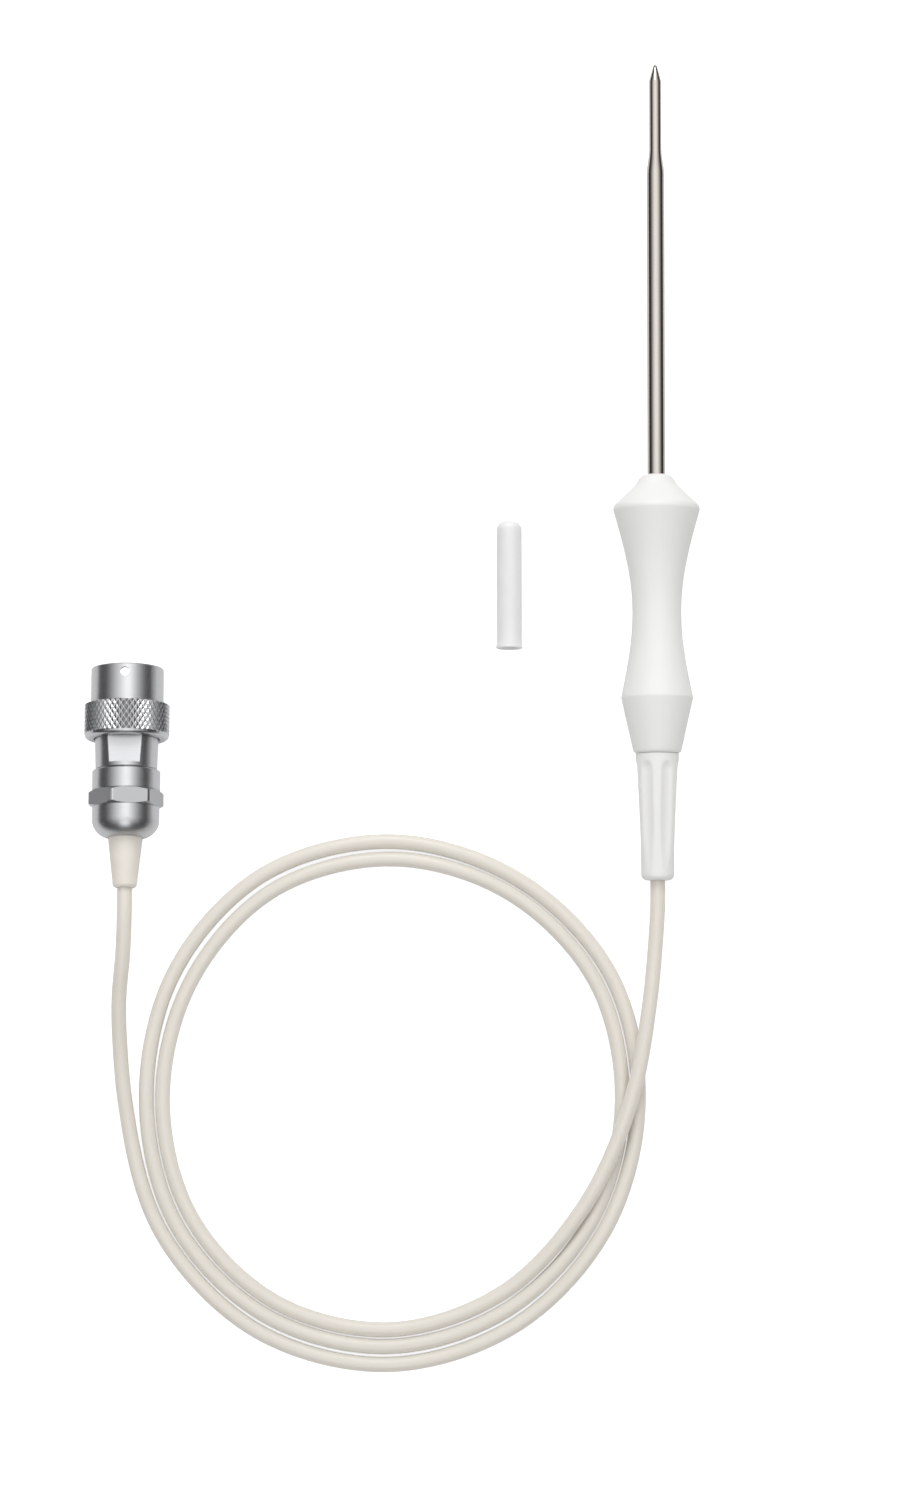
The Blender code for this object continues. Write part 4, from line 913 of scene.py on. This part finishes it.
class PROBE_OT_nut(bpy.types.Operator):
    """Adds the clamp nut: its collar, its hexagon and its domed end"""
    bl_idname = "probe.add_nut"
    bl_label = "Clamp nut"

    def execute(self, context):
        s = context.scene.plug_sizes
        collar, corner, flat = s.collar_radius / MM, s.hex_corner / MM, s.hex_flat / MM
        dome, hole, thread = s.dome_radius / MM, s.boot_front / MM + 0.12, THREAD_RADIUS + CLEARANCE

        def hexagonal(z, angle, radius):
            """Six flats on the turned blank: the radius is the flats' distance over the cosine of the angle
            from the nearest flat's middle, where that is less, so the blank's chamfers leave curved edges."""
            sixth = math.pi / 3
            off = (angle - HEX_TURN + sixth / 2) % sixth - sixth / 2
            inside = (z < -HEX_FRONT + 0.001) & (z > -HEX_REAR - 0.001)
            return np.where(inside, np.minimum(radius, flat / np.cos(off)), radius)

        end = arc(DOME_LENGTH - NUT_REAR, dome - DOME_HEIGHT, DOME_LENGTH, DOME_HEIGHT, 0, 74, 24)
        land = outline((-HEX_FRONT, flat + 0.02), (-HEX_FRONT - NUT_CHAMFER, corner),
                       (-HEX_REAR + NUT_CHAMFER, corner), (-HEX_REAR, flat + 0.02), step=0.08)
        line = outline((-NUT_FRONT, thread), (-NUT_FRONT, collar - 0.2), (-NUT_FRONT - 0.2, collar),
                       (-HEX_FRONT + 0.12, collar), (-HEX_FRONT + 0.02, collar - 0.12), land,
                       (-HEX_REAR - 0.02, dome - 0.1), (-HEX_REAR - 0.12, dome), end,
                       (end[-1, 0] - 0.05, hole), (NUT_WALL - NUT_REAR, hole),
                       (NUT_WALL - NUT_REAR, NUT_BORE), (-NUT_SEAT, NUT_BORE), (-NUT_SEAT, thread), step=0.5)
        mesh = turned("nut", line, PLUG_PLACE, 360, hexagonal)
        # The milled flats are where the hexagon's form took something off the blank
        uv = np.empty(len(mesh.loops) * 2, np.float32)
        mesh.uv_layers["UVMap"].data.foreach_get("uv", uv)
        turn, along = uv.reshape(-1, 4, 2).mean(1).T
        z, blank = (np.interp(along, travelled(line), line[:, axis]) for axis in (0, 1))
        milled = (hexagonal(z, turn * 2 * math.pi, blank) < blank - 0.004).astype(np.float32)
        # Faces marked milled get no turning marks, and the nickel paints their colour darker: a painted shade
        # for their dimmer reflection
        mesh.attributes.new("milled", "FLOAT", "FACE").data.foreach_set("value", milled)
        add_piece("hexagon_clamp_nut", mesh, plug_nickel(context), "probe", "satin_nickel", "clamp_nut",
                  sharp=22.0)
        return {"FINISHED"}


class PROBE_OT_boot(bpy.types.Operator):
    """Adds the ivory boot where the cable leaves the plug"""
    bl_idname = "probe.add_boot"
    bl_label = "Boot"

    def execute(self, context):
        s = context.scene.plug_sizes
        front, rear, long = s.boot_front / MM, s.boot_rear / MM, s.boot_length / MM
        bore = context.scene.probe_sizes.cable_radius / MM + 0.06
        stop = -NUT_REAR - long
        line = outline((-BOOT_FRONT, bore), (-BOOT_FRONT, BOOT_FLANGE), (-BOOT_STEP, BOOT_FLANGE),
                       (-BOOT_STEP, front), (-NUT_REAR, front), rounded(stop + 1.0, rear, 1.0, 5, 75, 9),
                       arc(stop + 0.25, bore + 0.3, 0.25, 0.3, 60, 90, 3), (stop, bore), step=1.0)
        finish = moulded_vinyl(context.scene.probe_finishes.boot)
        mesh = turned("boot", line, PLUG_PLACE, 72)
        add_piece("ivory_boot", mesh, finish, "probe", "ivory_moulding", "plug_boot", sharp=50.0)
        return {"FINISHED"}


class PROBE_OT_contacts(bpy.types.Operator):
    """Adds the plug's four contact pins"""
    bl_idname = "probe.add_contacts"
    bl_label = "Contact pins"

    def execute(self, context):
        gilt = plain_finish("gilt_contact", "D8B866", 0.26, 1.0, 900.0, 0.06)
        line = outline((PIN_FRONT, 0), arc(PIN_FRONT - 0.45, 0, 0.45, PIN_RADIUS, -90, 0, 6),
                       (-PIN_REAR, PIN_RADIUS), (-PIN_REAR, 0), step=2.0)
        for number in range(1, PINS + 1):
            angle = 2 * math.pi / PINS * (number - 0.5)
            aside = (PIN_CIRCLE * math.sin(angle), -PIN_CIRCLE * math.cos(angle))
            mesh = turned("pin", line, PLUG_PLACE, 20, None, False, aside)
            add_piece(f"round_pin_{number}", mesh, gilt, "probe", "gilt_contact", f"contact_pin_{number}")
        return {"FINISHED"}


class PROBE_OT_inner(bpy.types.Operator):
    """Gives the inner pieces their finishes: ceramic, wires, splices, clamp, gasket, rings and insert"""
    bl_idname = "probe.finish_inner"
    bl_label = "Inner pieces"

    def execute(self, context):
        looks = {
            plain_finish("fired_alumina", "EFE9DC", 0.62, 0.0, 1500.0, 0.04):
                ("tip_insulator", "stem_insulator"),
            plain_finish("drawn_alloy", "9A948C", 0.38, 1.0, 1200.0, 0.1):
                ("junction_bead", "positive_leg", "negative_leg"),
            plain_finish("tinned_copper", "B9A99A", 0.4, 1.0, 1200.0, 0.1):
                ("positive_splice", "negative_splice", "positive_core", "negative_core", "plug_positive_wire",
                 "plug_negative_wire"),
            plain_finish("stamped_steel", "CFCBC4", 0.25, 1.0, 700.0, 0.06):
                ("anchor_sleeve", "clamp_washer", "retaining_ring", "ring_spring"),
            plain_finish("moulded_phenolic", "202022", 0.5, 0.0, 1600.0, 0.15):
                ("contact_insert", "cable_clamp"),
            plain_finish("nitrile_rubber", "1A1A1A", 0.72, 0.0, 2000.0, 0.2):
                ("front_gasket",),
        }
        for look, names in looks.items():
            for name in names:
                piece = frame["nodes"][name]
                piece.data.materials.clear()
                piece.data.materials.append(look)
        return {"FINISHED"}


class PROBE_OT_cable(bpy.types.Operator):
    """Adds the cable in its loose turns, from the strain relief to the plug"""
    bl_idname = "probe.add_cable"
    bl_label = "Cable"

    def execute(self, context):
        s = context.scene.probe_sizes
        radius = s.cable_radius / MM
        relief_end = (s.handle_length + s.relief_length) / MM
        boot_end = NUT_REAR + context.scene.plug_sizes.boot_length / MM
        exits = []
        for place, end in ((PLUG_PLACE, boot_end), (PROBE_PLACE, relief_end)):
            backs = [end - CABLE_INSIDE, end, end + STRAIGHT_OUT]
            exits.append(placed(np.array([(0, 0, -back) for back in backs]), place) / MM)
        turn = np.radians(LOOP_START + LOOP_STEP * np.arange(len(LOOP_RADII)))
        lift = np.zeros(len(LOOP_RADII))
        lift[0], lift[-len(LAST_LIFTS):] = FIRST_LIFT, LAST_LIFTS
        loops = np.column_stack([LOOP_CENTRE[0] + np.array(LOOP_RADII) * np.cos(turn),
                                 LOOP_CENTRE[1] + np.array(LOOP_RADII) * np.sin(turn), radius + lift])
        route = smooth_path(np.vstack([exits[0], PLUG_STRAND, loops, HANDLE_STRAND, exits[1][::-1]]), 16)
        route[:, 2] = np.maximum(route[:, 2], radius)
        path = route[::-1] * MM
        mesh = tube("cable", path, s.cable_radius, (0, 0, 1), 24)
        finish = extruded_jacket(context.scene.probe_finishes.jacket)
        cable = add_piece("looped_cable", mesh, finish, "probe", "cable_jacket", "cord", sharp=60.0)
        return {"FINISHED"}


class PROBE_PT_panel(bpy.types.Panel):
    """Lists the probe's pieces, sizes and colours"""
    bl_idname = "PROBE_PT_panel"
    bl_label = "Temperature probe"
    bl_space_type = "VIEW_3D"
    bl_region_type = "UI"
    bl_category = "Probe"

    def draw(self, context):
        for operator in OPERATORS:
            self.layout.operator(operator.bl_idname)
        for group in (context.scene.probe_sizes, context.scene.plug_sizes, context.scene.probe_finishes):
            box = self.layout.box()
            for name in group.__annotations__:
                box.prop(group, name)


OPERATORS = (PROBE_OT_stage, PROBE_OT_stem, PROBE_OT_grip, PROBE_OT_relief, PROBE_OT_cap, PROBE_OT_body,
             PROBE_OT_nut, PROBE_OT_coupling, PROBE_OT_boot, PROBE_OT_contacts, PROBE_OT_inner,
             PROBE_OT_cable)
GROUPS = (ProbeSizes, PlugSizes, Finishes)


def register():
    for kind in (*GROUPS, *OPERATORS, PROBE_PT_panel):
        bpy.utils.register_class(kind)
    bpy.types.Scene.probe_sizes = PointerProperty(type=ProbeSizes)
    bpy.types.Scene.plug_sizes = PointerProperty(type=PlugSizes)
    bpy.types.Scene.probe_finishes = PointerProperty(type=Finishes)


def unregister():
    del bpy.types.Scene.probe_sizes
    del bpy.types.Scene.plug_sizes
    del bpy.types.Scene.probe_finishes
    for kind in reversed((*GROUPS, *OPERATORS, PROBE_PT_panel)):
        bpy.utils.unregister_class(kind)


def main():
    register()
    bpy.ops.probe.add_stage()
    bpy.ops.probe.add_stem()
    bpy.ops.probe.add_grip()
    bpy.ops.probe.add_relief()
    bpy.ops.probe.add_cap()
    bpy.ops.probe.add_body()
    bpy.ops.probe.add_nut()
    bpy.ops.probe.add_coupling()
    bpy.ops.probe.add_boot()
    bpy.ops.probe.add_contacts()
    bpy.ops.probe.finish_inner()
    bpy.ops.probe.add_cable()


if __name__ == "__main__":
    main()
